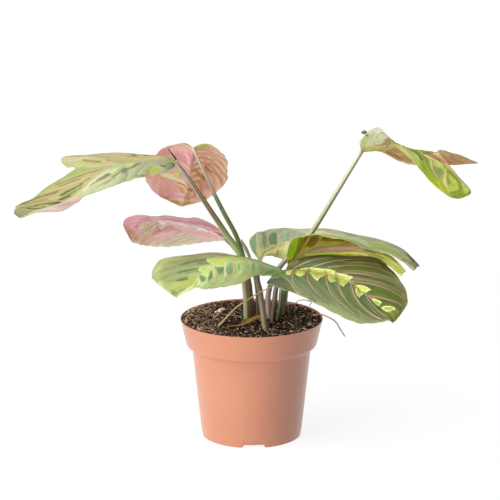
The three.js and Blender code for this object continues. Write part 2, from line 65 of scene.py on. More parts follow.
# Leaf blades, in mm. Rib is the midrib's line from the stalk to the tip, and left and right are
# the margins as seen walking along it, upper face up. An arch says how far the middle of a half is
# lifted above its chord, and where a half has a middle line, that says where it runs instead.
LEAVES = {
    "leaf_a": {
        "rib": [
            [-62.5, -4, 236], [-73, -6.5, 237.5], [-82, -8.5, 238], [-90.5, -10.5, 238],
            [-98, -12, 238], [-105, -13.5, 237.5], [-110.5, -14.5, 236], [-127, -19, 228],
            [-136, -21.5, 220], [-145, -23.5, 212.5], [-155.5, -27, 207], [-171.5, -34, 204.5],
            [-189, -43, 198],
        ],
        "left": [
            [-62.5, -5, 234], [-67, -16, 232], [-75, -24, 231], [-83, -30, 230],
            [-91, -34, 229.5], [-98, -38, 228.5], [-104, -41, 227.5], [-118, -46, 222.5],
            [-128, -48, 220.5], [-142.5, -50, 216.5], [-157.5, -50, 210.5], [-177, -47, 204.5],
            [-184, -44, 199.5],
        ],
        "right": [
            [-63.5, -3, 238], [-72.5, 5, 239.5], [-90.5, 12, 238.5], [-115.5, 16, 239.5], [-141, 18, 238],
            [-158, 17, 235], [-155, 14, 228], [-147, 7, 228.5], [-154.5, 3, 222.5], [-170.5, -4, 215.5],
            [-182, -15, 207.5], [-192.5, -31, 205.5], [-194, -42, 202],
        ],
        "left_arch": [0, 3, 4, 5, 5, 5, 5, 4, 1, -5, -6, -2, 0],
        "right_arch": [0, 2, 2, 2, 2, 2.5, 3, 3, 3, 3, 2, 1, 0],
    },
    "leaf_b": {
        "rib": [
            [-49, 14, 244.5], [-49.5, 25, 234.5], [-51, 36, 223.5], [-52.5, 47, 211.5], [-54.5, 57, 199.5],
            [-57.5, 65, 189.5], [-60, 70, 181],
        ],
        "left": [
            [-50, 14, 245], [-59, 14, 248.5], [-72.5, 19, 243.5], [-86.5, 29, 230], [-91, 42, 212.5],
            [-80, 57, 194], [-62, 69, 181.5],
        ],
        "right": [
            [-47.5, 14, 245], [-38, 17, 247], [-25.5, 24, 239.5], [-20, 37, 223], [-22.5, 50, 206.5],
            [-37.5, 63, 189.5], [-58.5, 69, 181.5],
        ],
        "left_arch": [0, 4, 7, 9, 9, 5, 0],
        "right_arch": [0, 4, 7, 9, 9, 5, 0],
    },
    "leaf_c": {
        "rib": [
            [-22.5, 12, 166.5], [-31, 14, 173], [-41, 16, 177], [-52, 17, 178.5], [-63.5, 18, 180.5],
            [-76.5, 19, 179.5], [-87.5, 20, 176], [-96, 22, 169.5], [-101, 24, 161],
        ],
        "left": [
            [-22.5, 12, 168], [-27.5, 9, 176], [-36.5, 2, 184.5], [-48, -4, 188.5], [-63, -7, 190.5],
            [-77.5, -7, 191], [-93.5, -5, 191.5], [-107.5, 4, 183.5], [-103, 22, 164],
        ],
        "right": [
            [-22.5, 13, 165], [-29, 17, 163.5], [-41, 22, 161], [-54.5, 26, 158], [-69.5, 29, 155.5],
            [-84.5, 30, 155.5], [-94, 28, 157.5], [-99, 26, 159.5], [-100, 25, 160],
        ],
        "left_arch": [0, 1, 1, 1, 1, 1, 1.5, 2, 0],
        "right_arch": [0, 2, 3, 4, 4, 4, 3, 1, 0],
    },
    "leaf_d": {
        "rib": [
            [24.5, -11, 146], [13.5, -18, 151.5], [2, -26, 157.5], [-9.5, -32, 162],
            [-22, -38, 163], [-32.5, -44, 159.5], [-40.5, -49, 153], [-46, -52, 147.5],
            [-52.5, -55, 142.5], [-62.5, -58, 135.5],
        ],
        "left": [
            [23.5, -12, 144], [15.5, -20, 143.5], [3.5, -36, 147], [-9.5, -46, 144], [-24, -53, 142],
            [-38, -57, 142], [-45.5, -58, 143.5], [-50, -58, 141], [-56, -59, 139], [-61, -58, 135],
        ],
        "right": [
            [23.5, -10, 147], [15.5, -8, 150], [3, -7, 153.5], [-11.5, -7, 157.5], [-33, -8, 159.5],
            [-56, -12, 159.5], [-76.5, -22, 156], [-82.5, -38, 149], [-77.5, -48, 144], [-63.5, -57, 136],
        ],
        "left_arch": [0, 3, 5, 6, 6, 5, 3, 1, 0, 0],
        "right_arch": [0, 0, 0, 0, 0.5, 1, 2, 1.5, 1, 0],
    },
    "leaf_e": {
        "rib": [
            [92, 14, 242], [98.5, 15, 242.5], [106, 16, 243], [113, 17, 244], [118, 17.5, 245],
            [123, 18.5, 244.5], [128, 19.5, 243.5], [132.5, 20.5, 242.5], [136, 22, 241.5], [139.5, 23, 241],
            [142.5, 24.5, 240.5], [146, 26, 239.5], [153.5, 30, 237.5], [165.5, 36, 232], [179.5, 41, 227.5],
            [192, 45, 225],
        ],
        "left": [
            [92.5, 14, 240.5], [99.5, 18, 240.5], [107.5, 22, 239.5], [114.5, 25, 235.5], [120.5, 28, 231.5],
            [126.5, 30, 228.5], [132.5, 31, 226.5], [138.5, 32, 226], [142.5, 33, 225.5], [147, 34, 225.5],
            [151.5, 35, 225], [156.5, 36, 224.5], [164, 38, 224], [174, 41, 224], [183.5, 44, 224],
            [191, 45, 224.5],
        ],
        "right": [
            [91.5, 14, 243], [90, 9, 251.5], [96, 4, 260], [103.5, 2, 264], [112, 0, 258],
            [119, -2, 250.5], [129, -5, 241], [140, -8, 229], [153, -11, 217], [168, -12, 207],
            [181.5, -7, 211], [170, 5, 225], [156, 20, 240.5], [168.5, 29, 237], [180, 37, 232],
            [191.5, 44, 225.5],
        ],
        "right_middle": [
            [91.5, 14, 242.5], [92, 12, 246.5], [98.5, 11, 251], [106.5, 11, 253.5], [115, 10, 252],
            [120.5, 9, 249.5], [126.5, 7, 246.5], [132.5, 6, 241], [140, 5, 234.5], [149, 5, 229.5],
            [156.5, 8, 230.5], [154.5, 15, 234.5], [153.5, 25, 238], [166, 32, 234], [180, 39, 229.5],
            [191.5, 44, 225.5],
        ],
        "left_arch": [0, 2, 3, 3, 3, 3, 3, 3, 3, 3, 2, 2, 2, 1, 1, 0],
    },
    "leaf_f": {
        "rib": [
            [7, 2, 149.5], [10.5, 6, 155], [16.5, 11, 157.5], [25, 17, 159], [41, 26, 161.5],
            [60, 34, 162], [79.5, 41, 159], [99.5, 46, 153.5], [117, 50, 147.5], [131, 52, 140],
            [142.5, 53, 131.5],
        ],
        "left": [
            [6, 3, 150], [-2, 9, 163], [3, 20, 170], [14, 33, 169.5], [33, 48, 167],
            [57, 59, 164.5], [81.5, 66, 158.5], [108.5, 68, 153], [130, 64, 144.5], [140, 58, 137.5],
            [145, 54, 132],
        ],
        "right": [
            [8, 3, 147.5], [9, 5, 152], [13, 8, 153.5], [20.5, 11, 151], [32.5, 15, 146],
            [51, 20, 150], [71.5, 27, 151.5], [92.5, 36, 150], [112.5, 44, 147], [127.5, 49, 138.5],
            [139.5, 52, 128],
        ],
        "left_arch": [0, 2, 3, 2.5, 2, 2, 2, 2, 2, 1, 0],
        "right_arch": [0, 1, 1, 2, 4, 4, 4, 3, 2, 1, 0],
    },
    "leaf_g": {
        "rib": [
            [30.5, 0, 144.5], [36.5, -3, 152.5], [43.5, -8, 159.5], [56.5, -16, 166.5], [73, -24, 170],
            [89, -29, 169], [104, -32, 164], [115.5, -34, 157], [124.5, -35, 149.5],
        ],
        "left": [
            [31.5, 1, 143.5], [40, 8, 146], [51, 11, 149], [66, 9, 152], [81, 5, 153],
            [94, -2, 154], [105, -14, 155], [114.5, -26, 152.5], [123.5, -34, 146],
        ],
        "right": [
            [30, -1, 146.5], [29.5, -14, 162], [35.5, -26, 177], [45.5, -34, 181], [60, -41, 182.5],
            [74.5, -46, 180.5], [93.5, -44, 173], [114, -40, 165.5], [127.5, -36, 151.5],
        ],
        "left_arch": [0, 2, 3, 4, 4, 3, 2, 1, 0],
        "right_arch": [0, 3, 4, 4.5, 4, 3, 2, 1, 0],
    },
    "leaf_h": {
        "rib": [
            [28, -14, 146], [33.5, -17, 148], [43.5, -23, 149], [55.5, -31, 149], [70, -40, 147.5],
            [82, -48, 144.5], [93.5, -55, 136.5], [104.5, -60, 127.5], [112, -63, 122], [116, -66, 117],
        ],
        "left": [
            [28.5, -13, 147], [33, -10, 152.5], [43, -9, 156], [60, -11, 158],
            [81, -15, 159.5], [101.5, -20, 158.5], [116.5, -32, 151.5], [125, -44, 140],
            [127.5, -55, 129.5], [117.5, -65, 117.5],
        ],
        "right": [
            [27, -15.5, 144.5], [12, -32, 141], [20, -39, 138.5], [37, -45, 134], [56, -55, 127.5],
            [73.5, -61, 119], [89, -64, 115], [102, -66, 115.5], [111, -67, 118], [115, -67, 116],
        ],
        "left_arch": [0, 3, 5, 6, 6, 6, 5, 4, 2, 0],
        "right_arch": [0, 3, 5, 7, 7, 7, 5, 3, 1, 0],
    },
}

# Stalks, in mm: points from the soil up, and the radius at each and at the leaf of the same letter.
STALKS = {
    "stalk_a": ([(-4, 3, 98.5), (-4.5, 5, 115.5), (-5, 6, 124), (-9.5, 6, 153.5), (-21.5, 5, 173),
                 (-35.5, 2, 195.5), (-48, -1, 215.5)], [2.7, 2.8, 2.8, 2.7, 2.5, 2.2, 2, 1.6]),
    "stalk_b": ([(-1, 12, 98.5), (-1.5, 13, 113), (-2, 14, 126), (-7, 15, 149.5), (-13, 16, 168.5),
                 (-22.5, 17, 186.5), (-30, 16, 202), (-37.5, 15.5, 219)],
                [2.3, 2.4, 2.4, 2.2, 2, 1.9, 1.8, 1.3, 1.1]),
    "stalk_c": ([(1, 22, 98.5), (-1.5, 22, 119.5), (-7.5, 22, 144), (-15, 19.5, 157)],
                [2.2, 2.2, 2, 1.6, 1.2]),
    "stalk_d": ([(17.5, -4, 98.5), (19, -8, 115), (20.5, -11, 130.5)], [2.3, 2.3, 2, 1.3]),
    "stalk_e": ([(15, 6, 98.5), (14, 5, 111), (14, 4, 120), (17, 3, 132.5), (24.5, 6, 145),
                 (36.5, 7, 158.5), (49.5, 7, 172.5), (70.5, 9, 207)],
                [2.1, 2.1, 2, 1.9, 1.9, 1.9, 1.9, 1.8, 1.5]),
    "stalk_f": ([(11.5, -26, 98.5), (8.5, -19, 118), (7, -15, 129), (5, -9, 137.5), (6, -3, 145.5)],
                [2.7, 2.5, 2.3, 1.9, 1.6, 1.2]),
    "stalk_g": ([(26, 16, 98.5), (28, 11, 114), (29.5, 5, 128.5)], [2.3, 2.3, 1.9, 1.3]),
    "stalk_h": ([(22, 1, 98.5), (24, -3, 113.5), (25, -8, 128)], [1.8, 1.8, 1.7, 1.3]),
}
# The young shoot carries no leaf.
YOUNG_SHOOT = ([(5, 12, 97.5), (4.5, 11, 120), (1.5, 9, 140), (-1.5, 7, 151.5), (-5, 6.5, 160),
                (-9, 6, 167.5)], [1.3, 1.3, 1.2, 1.2, 1.6, 0.9])
SOIL_LEVEL = 99.6
RIM_RADIUS = 60.0
# How far a stalk goes on below its first point.
ROOT_DEPTH = 9.0

# A blade's grid and how much denser it is near the midrib. Then its relief in mm: waves of the
# margin and how many, dips of the margin at the side veins, bulges between the veins and how soon
# they rise, the sheet's half thickness at the margin and what it gains inward, and the midrib's
# groove above and ridge below.
ROWS = 230
HALF_COLUMNS = 46
DENSER_INWARD = 0.45
RUFFLE = 0.9
RUFFLE_WAVES = 4.5
MARGIN_DIP = 0.6
QUILT = 0.3
QUILT_RISE = 2.2
THIN_EDGE = 0.12
THICKER_INWARD = 0.12
RIB_GROOVE = 0.22
RIB_RIDGE = 0.95

# Markings: the farthest distance that is kept, in mm, and how many mm a pixel may span.
FAR_MARK = 12.0
MARK_SCALE_LIMITS = (0.6, 2.6)
# How far past the midrib a marking of one half may reach, as v.
PAST_MIDRIB = 0.001
# Finding a photo pixel on a leaf. In pixels: how close a point of the grid has to be, how much
# farther than the nearest one it may be, and when the pixel is off the leaf. Then the depth in
# metres of one layer, the v of the margin, how far past it such a pixel goes in mm, and the limits
# for going on between the grid's points.
CLOSE_PIXELS = 1.1
CLOSE_EXTRA = 0.3
OFF_LEAF = 0.9
LAYER_DEPTH = 0.0025
MARGIN_V = 0.97
PAST_MARGIN = 3.0
FLAT_SLOPE = 0.02
LONGEST_STEP = 0.7
# Half the span in pixels over which a stroke's scale is measured.
SCALE_SPAN = 0.8


def srgb(code):
    """A hexadecimal screen colour as the linear colour that shaders use."""
    parts = [int(code[k:k + 2], 16) / 255 for k in (0, 2, 4)]
    return [c / 12.92 if c <= 0.04045 else ((c + 0.055) / 1.055) ** 2.4 for c in parts] + [1.0]


def rail(points, shares):
    """Points on the smooth line through the given points, at shares of it from 0 to 1."""
    p = np.asarray(points, float)
    p = np.vstack([2 * p[0] - p[1], p, 2 * p[-1] - p[-2]])
    last = len(p) - 3
    x = np.clip(np.asarray(shares, float), 0, 1) * last
    i = np.minimum(x.astype(int), last - 1)
    t = (x - i)[:, None]
    a, b, c, d = p[i], p[i + 1], p[i + 2], p[i + 3]
    return 0.5 * (2 * b + (c - a) * t + (2 * a - 5 * b + 4 * c - d) * t ** 2
                  + (3 * b - a - 3 * c + d) * t ** 3)


def unit(vectors):
    size = np.linalg.norm(vectors, axis=-1, keepdims=True)
    return vectors / np.maximum(size, 1e-9)


def sheet_normals(grid):
    down = np.gradient(grid, axis=0)
    across = np.gradient(grid, axis=1)
    return unit(np.cross(across, down))


def smoothstep(low, high, x):
    t = np.clip((x - low) / (high - low), 0, 1)
    return t * t * (3 - 2 * t)


def spread_values(values, shares):
    """Values given at even steps, read at shares from 0 to 1."""
    return np.interp(shares * (len(values) - 1), range(len(values)), values)


def leaf_grid(leaf):
    """The blade's middle sheet in mm: a grid of points, and its u and v coordinates."""
    share = np.linspace(0, 1, ROWS + 1)
    rib = rail(leaf["rib"], share)
    step = 1e-4
    along = unit(rail(leaf["rib"], share + step) - rail(leaf["rib"], share - step))
    t = np.linspace(0, 1, HALF_COLUMNS + 1)
    t = (1 - DENSER_INWARD) * t + DENSER_INWARD * t ** 2
    halves = []
    for key, side in (("left", 1), ("right", -1)):
        edge = rail(leaf[key], share)
        if key + "_middle" in leaf:
            crown = rail(leaf[key + "_middle"], share)
        else:
            height = spread_values(leaf[key + "_arch"], share)
            lift = unit(np.cross(along, edge - rib) * side)
            crown = (rib + edge) / 2 + lift * height[:, None]
        s = t[None, :, None]
        halves.append((1 - s) * (1 - 2 * s) * rib[:, None] + 4 * s * (1 - s) * crown[:, None]
                      + s * (2 * s - 1) * edge[:, None])
    grid = np.concatenate([halves[0][:, :0:-1], halves[1]], axis=1)
    v = np.concatenate([-t[:0:-1], t])[None, :].repeat(ROWS + 1, 0)
    u = share[:, None].repeat(v.shape[1], 1)
    wave = np.sin(2 * math.pi * RUFFLE_WAVES * u + 2 * v)
    ruffle = RUFFLE * np.sin(math.pi * u) * np.abs(v) ** 3 * wave
    grid = grid + sheet_normals(grid) * ruffle[..., None]
    return grid, u, v


def new_object(name, points, faces, slots, face_slots=None):
    """A smooth mesh object in metres from points in mm. Faces are rows of vertex numbers."""
    mesh = bpy.data.meshes.new(name)
    mesh.from_pydata((np.asarray(points) * MM).tolist(), [], faces)
    for material in slots:
        mesh.materials.append(material)
    if face_slots is not None:
        mesh.polygons.foreach_set("material_index", np.asarray(face_slots, np.int32))
    mesh.polygons.foreach_set("use_smooth", np.full(len(mesh.polygons), True))
    mesh.update()
    piece = bpy.data.objects.new(name, mesh)
    bpy.context.scene.collection.objects.link(piece)
    return piece


def set_fields(piece, fields):
    """Give each vertex its named numbers, which the materials read."""
    for name, values in fields.items():
        layer = piece.data.attributes.new(name, "FLOAT", "POINT")
        layer.data.foreach_set("value", np.ascontiguousarray(values, np.float32).ravel())


def set_uv(piece, uv):
    layer = piece.data.uv_layers.new(name="Blade")
    corners = np.empty(len(piece.data.loops), np.int32)
    piece.data.loops.foreach_get("vertex_index", corners)
    layer.data.foreach_set("uv", np.asarray(uv, np.float32)[corners].ravel())


def grid_faces(rows, columns, first=0, flip=False, closed=False):
    """Quads of a grid of points, whose number starts at first. A closed one joins its sides."""
    i, j = np.meshgrid(np.arange(rows - 1), np.arange(columns - (0 if closed else 1)), indexing="ij")
    a = (first + i * columns + j).ravel()
    b = (first + i * columns + (j + 1) % columns).ravel()
    quads = np.stack([a, a + columns, b + columns, b], 1)
    return (quads[:, ::-1] if flip else quads).tolist()


def sheet_body(top, bottom):
    """Points and faces of a closed body between two grids, and how many faces each part has."""
    rows, columns = top.shape[:2]
    points = np.concatenate([top.reshape(-1, 3), bottom.reshape(-1, 3)])
    count = rows * columns
    upper = grid_faces(rows, columns)
    lower = grid_faces(rows, columns, count, flip=True)
    border = ([i * columns for i in range(rows)]
              + [(rows - 1) * columns + j for j in range(1, columns)]
              + [i * columns + columns - 1 for i in range(rows - 2, -1, -1)]
              + [j for j in range(columns - 2, 0, -1)])
    walls = [[a + count, b + count, b, a] for a, b in zip(border, border[1:] + border[:1])]
    return points, upper + lower + walls, (len(upper), len(lower), len(walls))


class SeenSheet:
    """A leaf's sheet as the photograph shows it: the pixel, depth and flattened place of each point."""

    def __init__(self, grid, v, along, across):
        forward = unit(np.array(AIM) - np.array(EYE))
        right = unit(np.cross(forward, [0, 0, 1]))
        reach = grid * MM - np.array(EYE)
        self.depth = reach @ forward
        self.x = PHOTO_SIZE / 2 + FOCAL_PIXELS * (reach @ right) / self.depth
        self.y = PHOTO_SIZE / 2 - FOCAL_PIXELS * (reach @ np.cross(right, forward)) / self.depth
        self.v = v
        self.flat = np.stack([np.broadcast_to(along, v.shape), across], 2)

    def place(self, spot, half):
        """The flattened place in mm of a photo pixel on the sheet's front layer. A pixel off the
        leaf goes a little past the margin."""
        gap = np.hypot(self.x - spot[0], self.y - spot[1])
        if half:
            gap = np.where(self.v * half < -PAST_MIDRIB, np.inf, gap)
        nearest = gap.min()
        close = gap < max(nearest + CLOSE_EXTRA, CLOSE_PIXELS)
        front = self.depth[close].min()
        in_front = close & (self.depth < front + LAYER_DEPTH)
        i, j = np.unravel_index(np.where(in_front, gap, np.inf).argmin(), gap.shape)
        flat = self.flat[i, j].copy()
        if nearest > OFF_LEAF and abs(self.v[i, j]) > MARGIN_V:
            flat[1] += PAST_MARGIN * np.sign(self.v[i, j])
            return flat
        # Refine between grid points by the local slopes.
        a, b = np.clip(i, 1, len(gap) - 2), np.clip(j, 1, gap.shape[1] - 2)
        slope = np.array([[axis[a + 1, b] - axis[a - 1, b], axis[a, b + 1] - axis[a, b - 1]]
                          for axis in (self.x, self.y)]) / 2
        if abs(np.linalg.det(slope)) > FLAT_SLOPE:
            step = np.linalg.solve(slope, [spot[0] - self.x[i, j], spot[1] - self.y[i, j]])
            step = np.clip(step, -LONGEST_STEP, LONGEST_STEP)
            flat += step[0] * (self.flat[a + 1, b] - self.flat[a - 1, b]) / 2
            flat += step[1] * (self.flat[a, b + 1] - self.flat[a, b - 1]) / 2
        return flat

    def scale_across(self, start, end, half):
        """How many mm of the sheet one pixel spans, across a line from start to end."""
        start, end = np.array(start, float), np.array(end, float)
        side = SCALE_SPAN * unit(np.array([start[1] - end[1], end[0] - start[0]]))
        middle = (start + end) / 2
        gap = self.place(middle + side, half) - self.place(middle - side, half)
        return np.linalg.norm(gap) / (2 * SCALE_SPAN)


def segment_distance(x, y, a, b):
    """Distance of each point from the line from a to b, and how far along it lies."""
    ab = b - a
    t = np.clip(((x - a[0]) * ab[0] + (y - a[1]) * ab[1]) / max(ab @ ab, 1e-9), 0, 1)
    return np.hypot(x - a[0] - t * ab[0], y - a[1] - t * ab[1]), t


def patch_distance(x, y, spots):
    """Distance from a closed outline, below zero inside it."""
    edge = np.full(x.shape, FAR_MARK)
    inside = np.zeros(x.shape, bool)
    for a, b in zip(spots, spots[1:] + spots[:1]):
        edge = np.minimum(edge, segment_distance(x, y, a, b)[0])
        crosses = (a[1] > y) != (b[1] > y)
        at = a[0] + (y - a[1]) * (b[0] - a[0]) / np.where(crosses, b[1] - a[1], 1)
        inside ^= crosses & (x < at)
    return np.where(inside, -edge, edge)


def stroke_distance(x, y, spots, radii):
    """Distance from a stroke along the spots, whose radius goes evenly from one to the other."""
    best = np.full(x.shape, FAR_MARK)
    count = len(spots) - 1
    for k in range(count):
        distance, t = segment_distance(x, y, spots[k], spots[k + 1])
        best = np.minimum(best, distance - radii[0] - (radii[1] - radii[0]) * (k + t) / count)
    return best


def mark_distance(sheet, half, shapes):
    """Distance in mm from the outline of a marking, below zero inside it.

    A shape is a closed patch, which is a list of photo pixels, or a stroke: its width in pixels
    at its start and its end, and the pixels that it runs through."""
    half = {"L": -1, "R": 1}.get(half, 0)
    x, y = sheet.flat[..., 0], sheet.flat[..., 1]
    best = np.full(x.shape, FAR_MARK)
    for shape in shapes:
        if isinstance(shape, list):
            distance = patch_distance(x, y, [sheet.place(spot, half) for spot in shape])
        else:
            start, end, pixels = shape
            scales = [sheet.scale_across(a, b, half) for a, b in zip(pixels, pixels[1:])]
            scale = np.clip(np.median(scales), *MARK_SCALE_LIMITS) / 2
            spots = [sheet.place(spot, half) for spot in pixels]
            distance = stroke_distance(x, y, spots, (start * scale, end * scale))
        best = np.minimum(best, distance)
    return best


def vein_phase(u, v, halves):
    """A number that rises by one from each side vein to the next, and the veins' spacing in u."""
    phase = np.zeros(u.shape)
    gap = np.zeros(u.shape)
    # The first and last side veins are repeated beyond the ones that are given.
    beyond = np.arange(1, 5)
    for j in range(u.shape[1]):
        half = halves[0] if v[0, j] < 0 else halves[1]
        at = np.array([np.interp(abs(v[0, j]), half["knots"], line) for line in half["lines"]])
        first, last = at[1] - at[0], at[-1] - at[-2]
        at = np.concatenate([at[0] - first * beyond[::-1], at, at[-1] + last * beyond])
        phase[:, j] = np.interp(u[:, j], at, np.arange(len(at)) - len(beyond))
        gap[:, j] = np.interp(u[:, j], (at[1:] + at[:-1]) / 2, np.diff(at))
    return phase, gap


def blade_sides(grid, u, rib, edge, to_vein):
    """The grids of a blade's upper and under side, with bulges between the veins and the midrib's
    relief. Distances from the midrib, the margin and the nearest side vein are in mm."""
    soft = smoothstep(0, 4, edge) * smoothstep(0.5, 3, rib)
    bulge = (0.5 - np.exp(-(to_vein / QUILT_RISE) ** 2)) * soft
    grid = grid + sheet_normals(grid) * (QUILT * bulge)[..., None]
    normals = sheet_normals(grid)
    thin = THIN_EDGE + THICKER_INWARD * smoothstep(0, 3, edge)
    taper = np.sqrt(np.clip(1 - u, 0, 1))
    relief = np.exp(-(rib / (0.5 + 0.5 * taper)) ** 2) * taper
    return (grid + normals * (thin - RIB_GROOVE * relief)[..., None],
            grid - normals * (thin + RIB_RIDGE * relief)[..., None])


def make_leaf(name, leaf, look):
    """A blade with its fields: u from stalk to tip, v from -1 at the left margin to 1 at the right
    one, the side veins, the distances from midrib and margin, and the distance from each marking."""
    grid, u, v = leaf_grid(leaf)
    middle = HALF_COLUMNS
    phase, gap = vein_phase(u, v, look["veins"])
    # The margin dips a little where the side veins reach it.
    dip = MARGIN_DIP * (0.5 + 0.5 * np.cos(2 * math.pi * phase)) ** 2 * np.abs(v) ** 6
    grid = grid + unit(grid[:, middle:middle + 1] - grid) * dip[..., None]
    steps = np.linalg.norm(np.diff(grid, axis=1), axis=2)
    reach = np.concatenate([np.zeros((ROWS + 1, 1)), np.cumsum(steps, 1)], 1)
    across = reach - reach[:, middle:middle + 1]
    width = np.where(v < 0, -across[:, :1], across[:, -1:])
    rib_steps = np.linalg.norm(np.diff(grid[:, middle], axis=0), axis=1)
    along = np.concatenate([[0], np.cumsum(rib_steps)])[:, None]
    gap = gap * rib_steps.sum()
    rib = np.abs(across)
    edge = np.maximum(width - rib, 0)
    to_vein = np.abs((phase + 0.5) % 1 - 0.5) * gap
    points, faces, counts = sheet_body(*blade_sides(grid, u, rib, edge, to_vein))
    marks = MARKS[name]
    slots = [blade_material(name + "_" + face, look, face, marks if face in look["marked"] else [])
             for face in ("upper", "under")]
    face_slots = [0] * counts[0] + [1] * counts[1] + [0] * counts[2]
    piece = new_object(name + "_blade", points, faces, slots, face_slots)
    fields = {"u": u, "v": v, "phase": phase, "gap": gap, "rib": rib, "edge": edge}
    sheet = SeenSheet(grid, v, along, across)
    for number, (_, half, shapes) in enumerate(marks):
        fields["mark_%d" % number] = mark_distance(sheet, half, shapes)
    set_fields(piece, {key: np.concatenate([f.ravel(), f.ravel()]) for key, f in fields.items()})
    flat = np.stack([u.ravel(), v.ravel() * 0.5 + 0.5], 1)
    set_uv(piece, np.concatenate([flat, flat]))
    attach(piece, "root")
    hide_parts(name)


class Nodes:
    """Short calls for building one material's nodes."""

    def __init__(self, name, roughness, specular):
        self.material = bpy.data.materials.new(name)
        self.material.use_nodes = True
        self.tree = self.material.node_tree
        self.shader = self.tree.nodes["Principled BSDF"]
        self.shader.inputs["Roughness"].default_value = roughness
        self.shader.inputs["Specular IOR Level"].default_value = specular

    def new(self, kind, values=()):
        """A new node whose first inputs have the values, each a number, a colour or a socket."""
        node = self.tree.nodes.new("ShaderNode" + kind)
        for value, socket in zip(values, node.inputs):
            self.put(value, socket)
        return node

    def put(self, value, socket):
        if isinstance(value, bpy.types.NodeSocket):
            self.tree.links.new(value, socket)
        else:
            socket.default_value = value

    def math(self, operation, a, b=0.0):
        node = self.new("Math", (a, b))
        node.operation = operation
        return node.outputs[0]

    def add(self, a, b):
        return self.math("ADD", a, b)

    def mul(self, a, b):
        return self.math("MULTIPLY", a, b)

    def round_zero(self, noise, breadth):
        """Noise from 0 to 1 moved to lie round zero, over the given breadth."""
        return self.mul(self.math("SUBTRACT", noise, 0.5), breadth)

    def mix(self, share, a, b, blend="MIX"):
        node = self.new("Mix")
        node.data_type = "RGBA"
        node.blend_type = blend
        # Of the mix node's many inputs, these are the ones for colours.
        for value, number in ((share, 0), (a, 6), (b, 7)):
            self.put(value, node.inputs[number])
        return node.outputs[2]

    def times(self, colour, other):
        return self.mix(1.0, colour, other, "MULTIPLY")

    def tint(self, colour, amount):
        """A colour made darker or lighter by a factor that changes over the surface."""
        return self.times(colour, self.vector(amount, amount, amount))

    def field(self, name):
        node = self.new("Attribute")
        node.attribute_name = name
        return node.outputs["Fac"]

    def place(self):
        return self.new("TexCoord").outputs["Object"]

    def sideways(self, place):
        """The x of a place in metres."""
        return self.new("SeparateXYZ", (place,)).outputs[0]

    def vector(self, x, y, z=0.0):
        return self.new("CombineXYZ", (x, y, z)).outputs[0]

    def noise(self, where, scale, detail, rough=0.5):
        node = self.new("TexNoise")
        for value, name in zip((where, scale, detail, rough), ("Vector", "Scale", "Detail", "Roughness")):
            self.put(value, node.inputs[name])
        return node.outputs["Fac"]

    def streaks(self, first, second, density, seed=0.0, rough=0.5):
        """Noise over two fields, with its density along each."""
        where = self.vector(self.mul(first, density[0]), self.mul(second, density[1]), seed)
        return self.noise(where, scale=1.0, detail=3.0, rough=rough)

    def ramp(self, x, low, high, start=0.0, end=1.0):
        """A smooth change from start to end while x goes from low to high."""
        node = self.new("MapRange", (x, low, high, start, end))
        node.interpolation_type = "SMOOTHSTEP"
        return node.outputs[0]

    def bump(self, height, strength, distance):
        node = self.new("Bump")
        for value, name in zip((height, strength, distance), ("Height", "Strength", "Distance")):
            self.put(value, node.inputs[name])
        self.tree.links.new(node.outputs[0], self.shader.inputs["Normal"])

    def done(self, colour):
        self.put(colour, self.shader.inputs["Base Color"])
        return self.material


# How much the brightness of a blade wanders along its streaks, its fine streaks and its spots.
STREAKS = 0.42
FINE_STREAKS = 0.55
MOTTLE = 0.3
# How dense the streaks are across the side veins and along them, and the spots per metre.
STREAK_DENSITY = (5.0, 2.2)
FINE_DENSITY = (16.0, 4.0)
MOTTLE_DENSITY = 260.0
BROAD_DENSITY = 55.0
# How far the bands, the margin's colour and the markings' outlines wander with the streaks.
BAND_WANDER = 0.35
OUTER_WANDER = 0.3
MARK_WANDER = 2.0
# Where a marking's first tone turns into its second, and how the fine streaks wear it down.
BLEND = (0.38, 0.62)
WEAR = (0.25, 0.6, 0.7, 1.0)
# A side vein's line is full at this share of its breadth, and shows less where streaks are dark.
VEIN_CORE = 0.35
VEIN_WEAR = (0.2, 0.55, 0.45, 1.0)
# Where the midrib's and the margin's line are full, as shares of their breadth.
RIB_CORE = 0.45
MARGIN_CORE = 0.3
# A marking's dark border: how far out it fades in mm, and its strength.
BORDER_FADE = (1.3, 0.1)
BORDER_STRENGTH = 0.75
# A marking's pale rim: how far in it lies in mm.
RIM_FADE = (-1.5, -0.4)
# How far the two halves' looks run into each other at the midrib.
SEAM = 0.006


def vein_lines(g, vein_at, v, streak, right_side, veins):
    """How strongly the side veins show: fine lines that fade towards the margin."""
    lines = []
    for _, breadth, strength, fade_in, fade_out in veins:
        line = g.ramp(vein_at, breadth, breadth * VEIN_CORE)
        fade = g.ramp(g.math("ABSOLUTE", v), fade_out, fade_in)
        lines.append(g.mul(g.mul(line, fade), strength))
    line = g.add(g.mul(lines[1], right_side), g.mul(lines[0], g.math("SUBTRACT", 1.0, right_side)))
    return g.mul(line, g.ramp(streak, *VEIN_WEAR))


def marked(g, colour, marks, wobble, blend, worn):
    """The colour with the markings over it, each with its two tones in soft patches."""
    for number, (tones, _, _) in enumerate(marks):
        first, second, softness, ragged, strength, fringe, rim = (*tones, None, None)[:7]
        distance = g.add(g.field("mark_%d" % number), g.mul(wobble, ragged))
        if fringe:
            colour = g.mix(g.mul(g.ramp(distance, *BORDER_FADE), BORDER_STRENGTH), colour, srgb(fringe))
        inner = g.mix(blend, srgb(first), srgb(second))
        if rim:
            inner = g.mix(g.ramp(distance, *RIM_FADE), inner, srgb(rim))
        share = g.mul(g.mul(g.ramp(distance, softness / 2, -softness / 2), strength), worn)
        colour = g.mix(share, colour, inner)
    return colour


